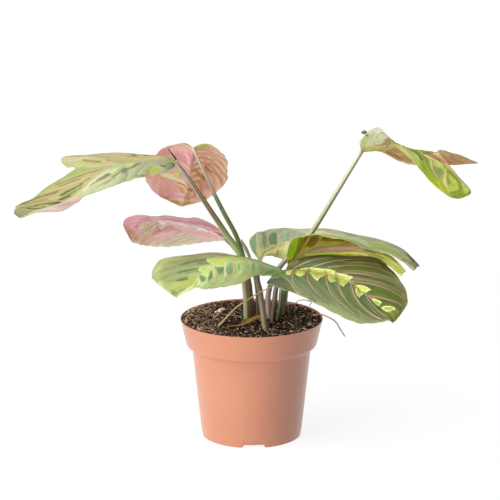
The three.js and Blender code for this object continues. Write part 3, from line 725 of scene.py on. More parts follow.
def blade_material(name, look, face, marks):
    """One face of a leaf: bands between the veins, markings, veins, midrib and margin."""
    g = Nodes(name, roughness=0.46, specular=0.32)
    # Light passes through the thin blade.
    g.shader.inputs["Subsurface Weight"].default_value = 0.5
    g.shader.inputs["Subsurface Radius"].default_value = (1.0, 0.8, 0.5)
    g.shader.inputs["Subsurface Scale"].default_value = 0.002
    paint = look[face]
    u, v, phase, rib, edge = [g.field(key) for key in ("u", "v", "phase", "rib", "edge")]
    seam = look.get("seam", SEAM)
    right_side = g.ramp(v, -seam, seam)
    # Fine streaks run along the side veins, and mottling is even in all directions.
    streak = g.streaks(phase, v, STREAK_DENSITY, look["seed"], rough=0.6)
    fine = g.streaks(phase, v, FINE_DENSITY, look["seed"], rough=0.7)
    mottle = g.noise(g.place(), MOTTLE_DENSITY, detail=3.0, rough=0.6)
    broad = g.noise(g.place(), BROAD_DENSITY, detail=2.0)
    # How far across the band between two side veins, from 0 at a vein to 0.5.
    fold = g.math("ABSOLUTE", g.math("SUBTRACT", g.math("FRACT", g.add(phase, 0.5)), 0.5))

    def two(key):
        """The left and right half's value, which may be one for both."""
        value = paint[key]
        return value if len(value) == 2 else (value, value)

    colours = []
    for near, middle, spread in two("base"):
        band = g.ramp(g.add(fold, g.round_zero(streak, BAND_WANDER)), *spread)
        colours.append(g.mix(band, srgb(near), srgb(middle)))
    colour = g.mix(right_side, *colours)
    if "outer" in paint:
        code, inner, outer = paint["outer"]
        out = g.add(g.math("ABSOLUTE", v), g.round_zero(streak, OUTER_WANDER))
        colour = g.mix(g.ramp(out, inner, outer), colour, srgb(code))
    veins = two("veins")
    line = vein_lines(g, g.mul(fold, g.field("gap")), v, streak, right_side, veins)
    colour = g.mix(line, colour, g.mix(right_side, srgb(veins[0][0]), srgb(veins[1][0])))
    wobble = g.add(g.round_zero(streak, MARK_WANDER), g.round_zero(mottle, 1.0))
    blend = g.ramp(g.mul(g.add(broad, streak), 0.5), *BLEND)
    colour = marked(g, colour, marks, wobble, blend, g.ramp(fine, *WEAR))
    # Brightness wanders along the streaks and in small spots.
    shade = g.add(g.mul(streak, STREAKS), g.mul(fine, FINE_STREAKS))
    shade = g.add(shade, g.mul(mottle, MOTTLE))
    shade = g.add(shade, 1.0 - (STREAKS + FINE_STREAKS + MOTTLE) / 2)
    # Painted light and shade: each half's colour is brightened or dimmed by its factor.
    left, right = look["gain"]
    colour = g.times(g.tint(colour, shade), g.mix(right_side, (*left, 1.0), (*right, 1.0)))
    code, breadth, tip_breadth, strength = paint["rib"]
    reach = g.math("DIVIDE", rib, g.ramp(u, 0.0, 1.0, breadth, tip_breadth))
    colour = g.mix(g.mul(g.ramp(reach, 1.0, RIB_CORE), strength), colour, srgb(code))
    code, breadth, strength = paint["margin"]
    colour = g.mix(g.mul(g.ramp(edge, breadth, breadth * MARGIN_CORE), strength), colour, srgb(code))
    relief = g.add(g.mul(fine, 0.6), g.mul(mottle, 0.4))
    g.bump(g.math("SUBTRACT", relief, g.mul(line, 0.5)), strength=0.35, distance=0.0004)
    return g.done(colour)


# Where across a half, from the midrib to the margin, its side veins are given.
KNOTS = (0, 0.25, 0.5, 0.75, 1)


def traced(lines, knots=KNOTS):
    """Side veins of one half, each given by its place along the leaf at every knot."""
    return {"knots": knots, "lines": lines}


def fan(rise, starts):
    """Side veins of one half: how far all go on along the leaf, and where each starts."""
    return traced([[start + r for r in rise] for start in starts])


# Looks of each face. Base: the colour at the side veins, the colour between them, and where one
# turns into the other. Outer: a colour towards the margin, and where it starts and is full. Veins:
# colour, breadth in mm, strength, and where they start to fade and end. Rib: colour, breadth at the
# stalk and at the tip in mm, and strength. Margin: colour, breadth in mm and strength. Base and
# veins may have two values, for the left and the right half.
PLAIN_UNDER = {
    "base": ("b98f8c", "a3787a", (0.12, 0.36)),
    "veins": ("c9a596", 0.9, 0.6, 0.3, 0.95), "rib": ("cbb09a", 1.3, 0.5, 0.8),
    "margin": ("a7a06c", 0.8, 0.6),
}
PLAIN_UPPER = {
    "base": ("8f9e62", "7b8f50", (0.12, 0.36)),
    "veins": ("b09a7a", 0.8, 0.6, 0.3, 0.95), "rib": ("c9c07c", 1.1, 0.5, 0.8),
    "margin": ("a7a06c", 0.8, 0.6),
}
PALE_UNDER = {
    "base": ("f0d2b8", "e0bca6", (0.12, 0.4)),
    "veins": ("e8ccb0", 0.9, 0.5, 0.3, 0.95), "rib": ("cbb09a", 1.3, 0.5, 0.8),
    "margin": ("d8c8a0", 0.8, 0.6),
}
# Where the side veins of a round, a long and a rolled leaf start on the midrib.
ROUND_FAN = (-.02, .06, .14, .22, .3, .38, .46, .55, .64, .74, .86)
LONG_FAN = (.02, .1, .18, .26, .34, .42, .5, .58, .67, .77, .88)
ROLLED_FAN = (.04, .11, .19, .27, .35, .43, .52, .61, .71, .82)
# Looks of each leaf: what varies its streaks, the factor of each half's red, green and blue, which
# paints light and shade into that half by brightening one that lies in shade and dimming a lit one,
# the faces that carry its markings, its side veins and its two faces. Seam is how far the two halves'
# looks run into each other, where that isn't the usual.
LOOKS = {
    "leaf_h": {
        "seed": 1.3, "gain": ((.88, .92, .85), (.8, .8, .77)), "marked": ("upper",),
        "veins": (traced([[.08, .56], [.12, .64], [.22, .64], [.32, .74], [.42, .85], [.54, .93],
                          [.67, 1.01], [.8, 1.1]], (0, 1)),
                  fan((0, .02, .09, .22, .42), (.12, .2, .28, .38, .45, .55, .67, .8))),
        "upper": {
            "base": (("7c7a46", "646c33", (0.1, 0.34)), ("76895a", "5f7c3a", (0.08, 0.32))),
            "outer": ("9aa878", 0.6, 0.98),
            "veins": (("9c8c60", 0.7, 0.2, 0.3, 1.0), ("b29a80", 0.9, 0.2, 0.25, 1.0)),
            "rib": ("b3b866", 0.7, 0.4, 0.5), "margin": ("aab07a", 0.7, 0.6),
        },
        "under": PLAIN_UNDER,
    },
    "leaf_d": {
        "seed": 2.7, "gain": ((1.1, 1.11, 1.1), (1.04, 1.05, 1.05)), "marked": ("upper",),
        "veins": (traced([[.06, .05, .04, .05, .08], [.13, .12, .11, .12, .14], [.2, .19, .18, .18, .2],
                          [.32, .29, .28, .32, .4], [.4, .37, .365, .39, .46], [.47, .46, .45, .47, .53],
                          [.57, .54, .52, .53, .58], [.64, .61, .57, .58, .62], [.72, .69, .65, .65, .69],
                          [.8, .77, .73, .74, .78], [.9, .87, .84, .84, .88]], (0, .3, .6, .8, 1)),
                  fan((0, .08, .14, .2, .28), (.06, .15, .24, .33, .42, .5, .57, .65, .74, .85))),
        "upper": {
            # Besides their own colours, the left half's base tones carry painted light and the right half's
            # painted shade.
            "base": (("b2c989", "a2b985", (0.1, 0.36)), ("919e68", "85975e", (0.12, 0.36))),
            "outer": ("b2c384", 0.62, 1.0),
            "veins": (("a89c7c", 0.8, 0.15, 0.3, 1.0), ("b69c86", 0.8, 0.15, 0.3, 1.0)),
            "rib": ("cdcd7c", 0.8, 0.4, 0.5), "margin": ("a8a078", 0.7, 0.6),
        },
        "under": PLAIN_UNDER,
    },
    "leaf_a": {
        "seed": 4.1, "gain": ((.83, .84, 1.05), (.69, .67, .74)), "marked": ("upper",),
        "veins": (fan((0, .12, .22, .31, .38), (-.3, -.2, -.1, 0, .1, .2, .3, .4, .5, .6, .72, .86)),
                  traced([[.05, .1, .15, .2, .26], [.15, .2, .25, .3, .36], [.25, .3, .34, .38, .42],
                          [.36, .41, .43, .44, .45], [.5, .54, .56, .53, .47], [.53, .58, .63, .7, .85],
                          [.57, .66, .76, .8, .9], [.63, .73, .85, .9, .95], [.69, .8, .92, .96, 1],
                          [.78, .87, .97, 1.02, 1.06]])),
        "upper": {
            "base": (("c3c98e", "bac485", (0.12, 0.36)), ("cdca8c", "c0c47e", (0.12, 0.36))),
            "veins": ("d9b898", 0.8, 0.15, 0.4, 1.1), "rib": ("d8d3a0", 1.0, 0.5, 0.5),
            "margin": ("b9bd7e", 0.6, 0.6),
        },
        "under": PALE_UNDER,
    },
    "leaf_b": {
        "seed": 5.9, "gain": ((1.62, 1.6, 1.84), (1.38, 1.46, 1.58)), "marked": ("under",), "seam": 0.2,
        "veins": (fan((0, .07, .17, .28, .36), ROUND_FAN),) * 2,
        "upper": PLAIN_UPPER,
        "under": {
            "base": (("d9a298", "d1968e", (0.1, 0.4)), ("dcb09c", "b8896a", (0.1, 0.4))),
            "veins": (("e3b8a8", 0.8, 0.3, 0.3, 1.1), ("dba792", 0.8, 0.3, 0.3, 1.1)),
            "rib": ("b98a66", 0.9, 0.5, 0.5), "margin": ("c08c72", 0.6, 0.6),
        },
    },
    "leaf_c": {
        "seed": 7.2, "gain": ((1.16, 1.18, 1.46), (1.1, 1.16, 1.42)), "marked": ("under",), "seam": 0.15,
        "veins": (fan((0, .06, .13, .21, .3), LONG_FAN),) * 2,
        "upper": PLAIN_UPPER,
        "under": {
            "base": (("d5a49c", "c9938f", (0.14, 0.4)), ("cdaa98", "c5b096", (0.12, 0.4))),
            "veins": (("dcb4ae", 0.8, 0.3, 0.3, 1.1), ("d3b3a2", 0.8, 0.3, 0.3, 1.1)),
            "rib": ("cdb896", 0.9, 0.5, 0.4), "margin": ("b5a988", 0.6, 0.6),
        },
    },
    "leaf_f": {
        "seed": 8.8, "gain": ((1.4, 1.3, 1.42), (1.38, 1.28, 1.5)), "marked": ("upper",),
        "veins": (fan((0, .03, .05, .1, .16), (.02, .11, .18, .28, .36, .44, .52, .6, .69, .78, .88)),
                  fan((0, .05, .1, .16, .24), (.02, .1, .18, .28, .36, .44, .52, .6, .69, .78, .88))),
        "upper": {
            "base": (("9aa77c", "8c9f74", (0.1, 0.34)), ("b2b884", "a4b07a", (0.1, 0.36))),
            "veins": (("b39c84", 0.9, 0.3, 0.4, 1.1), ("b8ab88", 0.8, 0.25, 0.3, 1.0)),
            "rib": ("cfc793", 0.9, 0.5, 0.5), "margin": ("8f8468", 0.7, 0.6),
        },
        "under": PLAIN_UNDER,
    },
    "leaf_g": {
        "seed": 10.4, "gain": ((1.5, 1.5, 1.45), (1.45, 1.45, 1.45)), "marked": ("under",),
        "veins": (fan((0, -.05, -.1, -.14, -.16), ROLLED_FAN), fan((0, .11, .15, .22, .3), ROLLED_FAN)),
        "upper": PLAIN_UPPER,
        "under": {
            "base": (("8a8a30", "7d822a", (0.12, 0.36)), ("7c7834", "66591f", (0.12, 0.36))),
            "veins": ("8a8440", 0.8, 0.3, 0.4, 1.2), "rib": ("9a8a50", 0.9, 0.5, 0.4),
            "margin": ("8a9030", 0.6, 0.6),
        },
    },
    "leaf_e": {
        "seed": 12.6, "gain": ((1.05, 1.12, 1.06), (1.02, 1.04, 1)), "marked": ("upper", "under"),
        "veins": (fan((0, .06, .12, .2, .28), ROUND_FAN),
                  traced([[.04, .1, .15, .2, .26], [.12, .18, .23, .28, .34], [.2, .26, .31, .36, .42],
                          [.29, .35, .4, .44, .48], [.38, .45, .48, .5, .52], [.5, .58, .55, .555, .56],
                          [.58, .64, .61, .6, .595], [.66, .7, .67, .65, .635], [.75, .78, .75, .72, .7],
                          [.85, .87, .84, .81, .78], [.94, .95, .93, .9, .87]])),
        "upper": {
            "base": (("b3bd5e", "a2b04a", (0.12, 0.36)), ("a6b24c", "96a63e", (0.1, 0.36))),
            "outer": ("a9b456", 0.75, 1.0),
            "veins": ("d0ca84", 0.9, 0.5, 0.4, 1.2), "rib": ("a8a060", 0.9, 0.5, 0.5),
            "margin": ("97a060", 0.7, 0.5),
        },
        "under": {
            "base": ("b0946e", "a07d5e", (0.12, 0.36)),
            "veins": ("cbb985", 0.9, 0.4, 0.4, 1.2), "rib": ("b5b06c", 1.0, 0.5, 0.6),
            "margin": ("b09a78", 0.7, 0.5),
        },
    },
}

# Markings of each leaf: two tones, softness and raggedness in mm, strength, and for some a dark
# border's or a pale rim's tone; then the half that they lie on and their shapes in photo pixels,
# which are patches, or strokes with a width in pixels at each end.
MARKS = {
    "leaf_h": [
        (("4d5524", "57602c", 1.8, 1.2, 0.55), "L", [(2.2, 3, [(322, 264.5), (334, 263.5), (346, 266),
         (356, 266)])]),
        (("556a3c", "5f7344", 7.0, 1.4, 0.75), "R", [[(292, 275), (304, 275), (320, 280), (326, 290),
         (333, 302), (322, 303), (306, 297), (296, 288)]]),
        (("4f5720", "636a36", 1.6, 0.8, 0.85), "L", [[(296, 266), (301, 260), (312, 257), (330, 255.5),
         (350, 255), (366, 256), (378, 259), (390, 265.5), (398, 273), (403, 281), (398, 278.5),
         (390, 272.5), (380, 267), (368, 264), (352, 263), (336, 263), (322, 265), (308, 268)]]),
        (("7d8a62", "8b906c", 1.4, 0.8, 0.75), "L", [(2.2, 2.2, [(306, 262.5), (318, 260.5), (332, 259.5),
         (345, 261.5), (358, 262), (370, 263), (380, 265.5)]), (2, 2, [(352, 278.5), (364, 279.5),
         (378, 282), (390, 286), (398, 291)]), (1.8, 1.8, [(345, 271.5), (358, 272.5), (372, 273.5),
         (386, 277), (396, 281)]), (1.8, 1.8, [(400, 283), (405, 291), (407, 300)])]),
        (("46611a", "55701c", 1.2, 0.7, 0.9), "L", [[(337, 268), (348, 267.5), (362, 267.5), (374, 269.5),
         (384, 272.5), (392, 276), (397, 279.5), (388, 276.5), (376, 273), (363, 271), (349, 270),
         (338, 270.5)], [(366, 292.5), (371, 290.5), (378, 289), (388, 292), (396, 296.5), (402, 301),
         (396, 300.5), (388, 298), (380, 295.5), (371, 294.5)], [(356, 284), (362, 284), (368, 285),
         (377, 287.5), (371, 289), (366, 286), (360, 284.5)], [(376, 299), (384, 300), (392, 302.5),
         (399, 305.5), (395, 306), (386, 303.5), (380, 301.5)]]),
        (("3c4415", "4c4a18", 1.2, 0.6, 0.9), "L", [(1.5, 1.5, [(300, 260), (306, 257.5), (318, 256),
         (335, 256), (352, 255.5), (361, 256)]), (1.3, 1.3, [(292.5, 268.5), (298, 264.5), (304, 261)]),
         [(376, 261.5), (384, 263), (391, 267), (396, 272), (400, 277.5), (395, 275), (388, 269.5),
         (380, 265)], (1.1, 1.1, [(348, 275), (360, 276), (372, 279), (384, 282), (394, 286.5)]),
         (0.9, 0.9, [(345, 261), (358, 261), (370, 262)])]),
        (("4a6442", "557050", 1.2, 0.8, 0.85), "L", [[(301, 266.5), (308, 263), (318, 261), (330, 259.5),
         (341, 260.5), (330, 262), (318, 264), (308, 267)], (1.3, 1.3, [(322, 267.5), (332, 265),
         (344, 263)])]),
        (("c9bb98", "b39f78", 0.7, 0.3, 0.95, "4a4a24"), "L", [(0.9, 0.9, [(292.5, 269), (300, 265),
         (307, 262), (313, 260), (321, 258.5), (332, 258)]), (0.9, 0.9, [(311, 267.5), (319, 265),
         (328, 262.5), (338, 260.5), (350, 259.5), (362, 259.5), (374, 260.5), (384, 263)])]),
        (("c9a98e", "bd9d80", 0.8, 0.3, 0.9, "565227"), "L", [(.8, 1.1, [(328, 267.5), (340, 266),
         (354, 265.5), (366, 266.5), (376, 268), (386, 271.5), (394, 275), (400, 279.5)]),
         (1, 1.2, [(338, 274), (347, 273), (356, 273.5), (368, 275), (380, 278), (390, 281.5), (398, 286),
         (404, 291.5)]), (1, 1.2, [(350, 281), (360, 282.5), (369, 283.5), (379, 286), (390, 290.5),
         (399, 295.5), (405, 300.5)]), (1.4, 1.2, [(366, 296.5), (374, 296.5), (382, 298), (391, 300.5),
         (398, 303), (402.5, 307)])]),
        (("dadd74", "cedc6e", 0.7, 0.5, 1.0, None, "ecf4ae"), "", [[(286, 271.5), (292, 270),
         (300, 268.5), (308, 267.5), (316, 268), (324, 269), (330, 269.5), (336.5, 271.5), (333, 272.5),
         (341, 273.5), (347, 275), (353.5, 277.5), (350.5, 279), (349, 281.5), (347.5, 283), (345, 285),
         (343.5, 287), (341, 285.5), (338.5, 283.5), (336, 281.5), (334, 281.5), (331.5, 283), (329, 281),
         (326.5, 277), (324, 276), (321, 277), (319, 279), (317.5, 281.5), (315.5, 280), (313, 277.5),
         (310.5, 274), (306.5, 273.5), (304, 275), (301, 276.5), (298, 276), (295, 274), (291, 274.5),
         (286, 275)], [(355, 285.5), (359, 285), (363, 285.5), (367, 287), (371.5, 290), (367.5, 291.5),
         (365.5, 293.5), (362.5, 295), (360.5, 296), (359, 298), (356.5, 295), (355, 291)],
         [(370.5, 297.5), (375, 299), (379, 300.5), (382, 302.5), (380, 304.5), (378.5, 306.5),
         (375.5, 305), (372.5, 301.5)], [(381, 307.5), (385, 306), (390, 306), (394.5, 307.5),
         (396, 309.5), (392.5, 310), (389.5, 312.5), (386, 311.5), (382.5, 309.5)]]),
        (("b0a444", "9caa28", 1.2, 0.9, 0.7), "", [(1.8, 1.8, [(357.5, 288), (359, 291.5)]),
         (2.2, 2.2, [(376, 302), (379, 303.5)]), (2, 2, [(385, 308), (391, 308.5)]),
         (0.9, 0.9, [(300, 271), (312, 271), (322, 272.5), (334, 275), (344, 278)])]),
        (("bf9d72", "ad8558", 0.8, 0.4, 0.9, "8a7a40"), "", [(1.2, 1.2, [(295.5, 270), (293.5, 273.5)]),
         (1.2, 1.2, [(309, 269.5), (307, 274)]), (1.3, 1.3, [(325.5, 272), (326, 278)]),
         (1.3, 1.3, [(336, 275), (337, 281)]), (1.5, 1.5, [(352.5, 283), (354.5, 287)]),
         (1.2, 1.2, [(367, 296.5), (371, 298)])]),
        (("c09689", "bf9c80", 0.8, 0.3, 0.85, "5c5f3a"), "R", [(1.2, .8, [(293, 273.5), (292, 278.5),
         (293.5, 283), (297, 287.5), (302.5, 293), (308.5, 297), (316, 301.5)]), (1.2, 1, [(307, 273.5),
         (308, 279.5), (311, 285.5), (316, 292), (322, 297), (329, 303)])]),
        (("d2b59e", "c8a68c", 0.8, 0.3, 0.95, "5f5c38"), "R", [(1.2, 1.1, [(326, 277), (327, 284),
         (329.5, 291), (334.5, 297.5), (341, 303.5), (349.5, 310), (357.5, 316)]), (1, .8, [(337, 280),
         (339, 287), (342, 294), (345.5, 300), (350, 305.5), (354.5, 311)]), (1.5, 1.3, [(350, 281.5),
         (351.5, 286.5), (353, 292.5), (356, 298.5), (360.5, 304.5), (366, 310), (373.5, 315.5),
         (381, 319)]), (1.2, .9, [(364.5, 293.5), (368, 299), (372, 304.5), (377, 310), (383, 314.5),
         (388.5, 317)])]),
        (("b8a27a", "a89a6c", 0.8, 0.4, 0.7), "R", [(1, 0.7, [(316, 301.5), (324, 305), (332, 308.5)]),
         (1.2, 0.8, [(329, 303), (337, 308.5), (346, 313.5)]), (0.8, 0.8, [(334, 306), (342, 311),
         (350, 316)]), (0.8, 0.8, [(357, 309), (363, 314), (369, 318)])]),
        (("3f4a30", "4f4c2c", 1.4, 1.0, 0.9), "R", [[(263.5, 283), (268, 280.5), (273, 279), (281, 277.5),
         (286, 279.5), (290, 283.5), (294, 290), (296, 293.5), (288, 291), (280, 287.5), (270, 286.5),
         (265.5, 288)]]),
        (("6f7a34", "7d7a44", 1.4, 1.0, 0.8), "R", [(3, 3, [(287, 285.5), (291, 290.5)]),
         (1.6, 1.6, [(283, 284), (289, 284.5)])]),
        (("2f3422", "37402a", 1.0, 0.5, 0.9), "R", [[(263, 282), (266, 281), (269, 283), (267, 286.5),
         (264, 288)]]),
        (("8f9f48", "74802f", 1.6, 0.8, 0.8), "", [[(384, 313.5), (388, 311.5), (393, 311), (398, 309.5),
         (400, 312.5), (397, 317), (393, 320), (387, 319.5)]]),
        (("5c6040", "6c7044", 1.0, 0.4, 0.95), "", [[(389.5, 321), (393.5, 319), (396.5, 318.5),
         (395.5, 324), (392, 323)]]),
    ],
    "leaf_d": [
        (("7f815d", "898465", 1.0, 0.6, 0.85), "R", [(1.8, 1.8, [(186, 256), (194, 254.5), (205, 254),
         (216, 254), (226, 255)])]),
        (("a39072", "9c8965", 1.1, 0.5, 0.8), "R", [(1.8, 1.8, [(188, 259), (196, 258), (205, 256.5),
         (214, 256), (220, 256)]), (1.2, 1.2, [(160, 270.5), (167, 268), (174, 266), (182, 263),
         (190, 260.5)]), (1.3, 1.3, [(160.5, 280), (167, 276.5), (174, 273), (181, 270), (188, 267.5),
         (196, 265.5), (205, 264.5)]), (1.4, 1.4, [(173, 280), (180, 277.5), (187, 275.5), (194, 274)])]),
        (("547242", "5f7642", 1.2, 0.8, 0.95), "R", [[(178, 265), (185, 262.5), (191, 261), (198, 259.5),
         (204, 258), (208, 259.5), (206, 261.5), (200, 262.5), (192, 263), (185, 265)],
         (1, 1.6, [(198, 264), (203, 263.5), (208.5, 263)]), [(176, 273), (182, 271), (188, 269.5),
         (194, 268), (199.5, 267.5), (196, 270), (190, 271), (184, 272.5), (178, 274)], [(175.5, 281.5),
         (180, 279), (184, 278), (188, 277), (190, 278.5), (186, 280), (181, 281.5)],
         (0.8, 0.8, [(186, 273.5), (193, 272), (198, 271.5)])]),
        (("7a9a68", "839d6e", 1.2, 0.8, 0.7), "R", [(2.4, 2.4, [(176, 268.5), (184, 267), (192, 265)]),
         (2, 2, [(178, 275), (186, 274), (196, 272.5)])]),
        (("919c5c", "959754", 1.0, 0.6, 0.7), "R", [(1, 1, [(163, 265.5), (172, 262.5), (181, 259.5),
         (190, 257.5)]), (1, 1, [(154, 274), (160, 271.5), (170, 269)]), (1, 1, [(162, 283), (168, 280.5),
         (174, 277)])]),
        (("8da277", "94a678", 1.6, 0.6, 0.8), "R", [(2.6, 2.6, [(160, 262), (153.5, 270), (152.5, 277),
         (157, 282.5)])]),
        (("9bb05e", "a8b360", 2.0, 1.2, 0.8), "", [[(163, 281.5), (169, 283), (176, 282), (183, 281),
         (189, 280), (194, 281.5), (196, 284.5), (191, 287.5), (183, 289), (176, 291), (170, 289),
         (166, 286)], [(187, 275.5), (192, 273.5), (197, 272.5), (198.5, 276), (197.5, 280), (194, 282.5),
         (189.5, 281)]]),
        (("b9b86a", "b5b262", 1.4, 0.9, 0.6), "", [(1.6, 2.2, [(171, 287), (178, 285.5), (187, 284)]),
         (1.4, 1.4, [(190, 278.5), (195, 277)])]),
        (("b4c66c", "a8ba60", 1.0, 0.8, 0.95, None, "c0d088"), "", [[(199.5, 267), (204, 266), (209, 266),
         (211, 269.5), (210, 273.5), (207, 277.5), (204, 275.5), (201, 274.5), (199, 271)],
         [(206.5, 259.5), (213, 258), (222, 256.5), (232, 256), (241, 257.5), (250, 261), (244, 262.5),
         (236, 262), (230, 261.5), (226.5, 263.5), (224, 266.5), (219, 267), (214, 266.5), (211, 264),
         (208, 262.5)]]),
        (("b98d58", "bf9c62", 0.8, 0.5, 0.75), "", [(1, 1, [(221, 257), (230, 257.5), (240, 257.5)]),
         (1, 1, [(219.5, 258.5), (222.5, 262.5)]), (0.8, 0.8, [(238, 259), (246, 260.5)])]),
        (("628852", "587e48", 1.2, 0.9, 0.9), "L", [[(200, 275), (202.5, 276), (205.5, 277), (206, 279.5),
         (204, 282), (201, 281.5), (199.5, 278.5)], [(210, 271), (212.5, 270.5), (213.5, 274),
         (212, 278.5), (208.5, 280.5), (207, 278.5), (209, 275)], [(214, 266.5), (219, 267.5), (224, 267),
         (224, 270), (222, 273.5), (218, 273.5), (216, 270)], (1.4, 1.4, [(194, 281), (192.5, 284.5)])]),
        (("7a9a6d", "82a178", 0.9, 0.6, 0.9), "L", [[(226, 267.5), (228, 264.5), (231, 263), (232.5, 266),
         (232.5, 270), (231.5, 274), (228, 274.5), (226, 271.5)], (2.4, 2.4, [(253, 263.5), (253, 269)]),
         (1.6, 1.6, [(238.5, 264), (239, 269)]), (2, 2, [(272, 265.5), (274.5, 268.5)])]),
        (("a2a087", "ab9f85", 1.2, 0.6, 0.8), "L", [[(220.5, 274), (222.5, 271), (224, 270.5),
         (224, 274.5)]]),
        (("b4d09c", "a6c48c", 2.4, 1.2, 0.7), "L", [[(255, 265), (262, 266), (272, 266.5), (279, 271),
         (276, 275), (267, 277.5), (256, 279.5)]]),
        (("d6bb99", "cbab85", 0.8, 0.4, 0.95, "99ab6d"), "L", [(1.2, 2.2, [(212, 265.5), (214, 269.5),
         (215.5, 274), (214.5, 278.5), (211.5, 282.5)]), (1.6, 2, [(232, 263), (234, 266.5), (234.5, 272),
         (232, 276.5), (227.5, 280)]), (1.4, 1.2, [(247.5, 261.5), (250, 266), (250, 271),
         (246.5, 274.5)]), (1.6, 1.6, [(260, 263), (262, 267), (261.5, 271.5)]), (1, 1, [(197.5, 273.5),
         (198, 279), (196.5, 284.5)])]),
        (("ede1b7", "e3d8a8", 0.7, 0.3, 0.85), "L", [(1, 1, [(225, 267), (225, 271), (225, 276)]),
         (0.8, 0.8, [(213, 271), (214, 277)])]),
        (("d5c694", "d1bb8e", 1.1, 0.5, 0.7), "L", [(1.4, 1.4, [(227.5, 280), (224, 284), (222, 287)]),
         (1.2, 1.2, [(246.5, 274.5), (240.5, 279), (233, 283)]), (1, 1, [(219, 277), (217, 283),
         (216, 287)]), (1, 1, [(205, 282), (200, 286)])]),
        (("bcd67c", "b0ce6c", 1.6, 1.0, 0.65), "L", [(4, 4, [(219, 279), (222, 281)]), (4, 4, [(236, 276),
         (240, 272)]), (3, 3, [(243, 281), (252, 276)])]),
        (("8cbb66", "96bd6d", 1.4, 0.8, 0.8), "L", [(3, 3, [(262, 274.5), (270, 272.5), (276, 271)]),
         (2, 2, [(243.5, 265.5), (244.5, 269)])]),
        (("a9b07e", "b5a46a", 1.0, 0.5, 0.8), "L", [(1.6, 1.6, [(194, 287.5), (203, 289), (213, 288.5),
         (224, 287.5)]), (1.2, 1.2, [(252, 278), (262, 279), (270, 276.5)])]),
        (("b9d28e", "b4ca85", 1.6, 0.6, 0.7), "L", [(2.6, 2.6, [(178, 291.5), (186, 290),
         (193, 288.5)])]),
        (("858656", "7d7d50", 2.2, 0.9, 0.7), "", [[(169.5, 293.5), (173, 290.5), (176, 292),
         (179, 293.5), (176, 297.5), (172, 296)]]),
    ],
    "leaf_a": [
        (("d9d3a2", "dfd7a8", 1.6, 0.8, 0.8), "R", [[(62, 157), (80, 158), (84, 154), (100, 154.5),
         (108, 154.5), (106, 158), (90, 158), (78, 160.5), (62, 161)]]),
        (("d3d9a2", "c3cf8c", 1.6, 0.8, 0.8), "R", [[(61, 160), (70, 160.5), (82, 162.5), (96, 164.5),
         (104, 166), (92, 168), (80, 168.5), (70, 167), (62, 167)]]),
        (("b2d068", "9cbc52", 1.4, 0.8, 0.9), "R", [[(61, 178.5), (66, 174.5), (72, 171.5), (80, 168.5),
         (90, 168.5), (84, 172), (76, 175), (68, 178)], (3, 3, [(60, 180), (50, 186.5), (40, 192.5)])]),
        (("e3da90", "dfd596", 1.6, 0.8, 0.85), "R", [[(104, 154.5), (114, 153), (130, 154.5),
         (146, 155.5), (160, 157), (160, 161), (146, 161.5), (132, 161.5), (120, 160), (108, 158.5)]]),
        (("96792a", "a5863a", 0.8, 0.4, 0.9), "R", [(0.7, 1.6, [(83, 160), (90, 161), (98, 162)]),
         (1.4, 0.6, [(98, 162), (102, 162.5)]), (1, 1, [(107, 160), (110, 161.5)])]),
        (("dcc69c", "d6bb90", 0.9, 0.5, 0.7), "R", [(1, 1, [(87, 159), (95, 160), (106, 160)]),
         (2, 2, [(104, 162), (112, 163.5)]), (1.8, 1.8, [(93, 174.5), (84, 179), (74, 183.5), (66, 187),
         (58, 189.5)]), (1.4, 1.4, [(70, 199), (62, 199.5), (52, 201)]), (1.2, 1.2, [(100, 171.5),
         (92, 176)]), (1.4, 1.4, [(108, 167), (103, 170)])]),
        (("8f8442", "877e3c", 0.8, 0.4, 0.85), "R", [(1, 1, [(102, 169), (94, 171.5), (84, 174.5),
         (76, 177.5), (66, 181.5), (57, 185)]), (1.4, 1.4, [(56, 192.5), (47, 195), (38, 197.5), (30, 201),
         (22, 204.5)]), (0.9, 0.9, [(80, 179.5), (70, 183), (60, 186.5)]), (1, 1, [(36, 206), (28, 207.5),
         (20, 208)])]),
        (("c2b07e", "c3a56e", 0.9, 0.5, 0.75), "R", [(1.2, 1.2, [(62, 189.5), (53, 192), (44, 194.5)]),
         (1.4, 1.4, [(84, 176.5), (74, 179.5), (64, 183)]), (1.2, 1.2, [(46, 199), (36, 202),
         (26, 205)])]),
        (("6c8c3c", "628230", 0.9, 0.6, 0.95), "R", [[(84.5, 181.5), (79, 185), (73, 188), (66, 191),
         (59, 195.5), (62, 196.5), (69, 193), (76, 189), (82, 185)], (1.4, 1.4, [(70, 196), (64, 199),
         (60, 200)]), [(62, 202), (55, 203), (47, 205.5), (50, 207), (57, 205), (61.5, 203)]]),
        (("54531e", "625426", 0.8, 0.4, 0.95), "R", [(1, 0.6, [(89.5, 178.5), (84.5, 181), (80, 184)]),
         (0.9, 1.3, [(81.5, 187.5), (76, 190), (70, 194), (64, 197.5), (60, 199.5)]),
         (1.2, 0.6, [(58, 202.5), (50, 203.5), (41, 204.5), (34, 206)]), (1, 1, [(47, 208.5), (40, 209),
         (32, 209), (27, 208.5)])]),
        (("e6dfa2", "ddd694", 0.8, 0.4, 0.8), "R", [(1, 1, [(79, 187.5), (71, 192), (62, 197)]),
         (1.2, 1.2, [(58, 197.5), (50, 199.5)]), (1.4, 1.4, [(44, 202.5), (34, 204)])]),
        (("f0cab0", "e6bea2", 1.2, 0.5, 0.95), "L", [[(72, 198.5), (67, 203), (62, 206.5), (55, 209),
         (45, 210.5), (50, 207.5), (60, 204.5), (66, 201)]]),
        (("e0d8a4", "dbdc9c", 1.6, 0.8, 0.85), "L", [[(108, 168), (104, 172), (97, 177), (90, 183),
         (84, 188), (80, 192), (86, 191), (94, 184), (102, 177), (110, 172)]]),
        (("787c52", "80784c", 1.0, 0.5, 0.9), "L", [[(111.5, 174), (107, 177.5), (101, 180.5),
         (95, 183.5), (91.5, 185.5), (96, 181), (102, 177), (107, 174)], (1, 1, [(96, 182), (90, 186)])]),
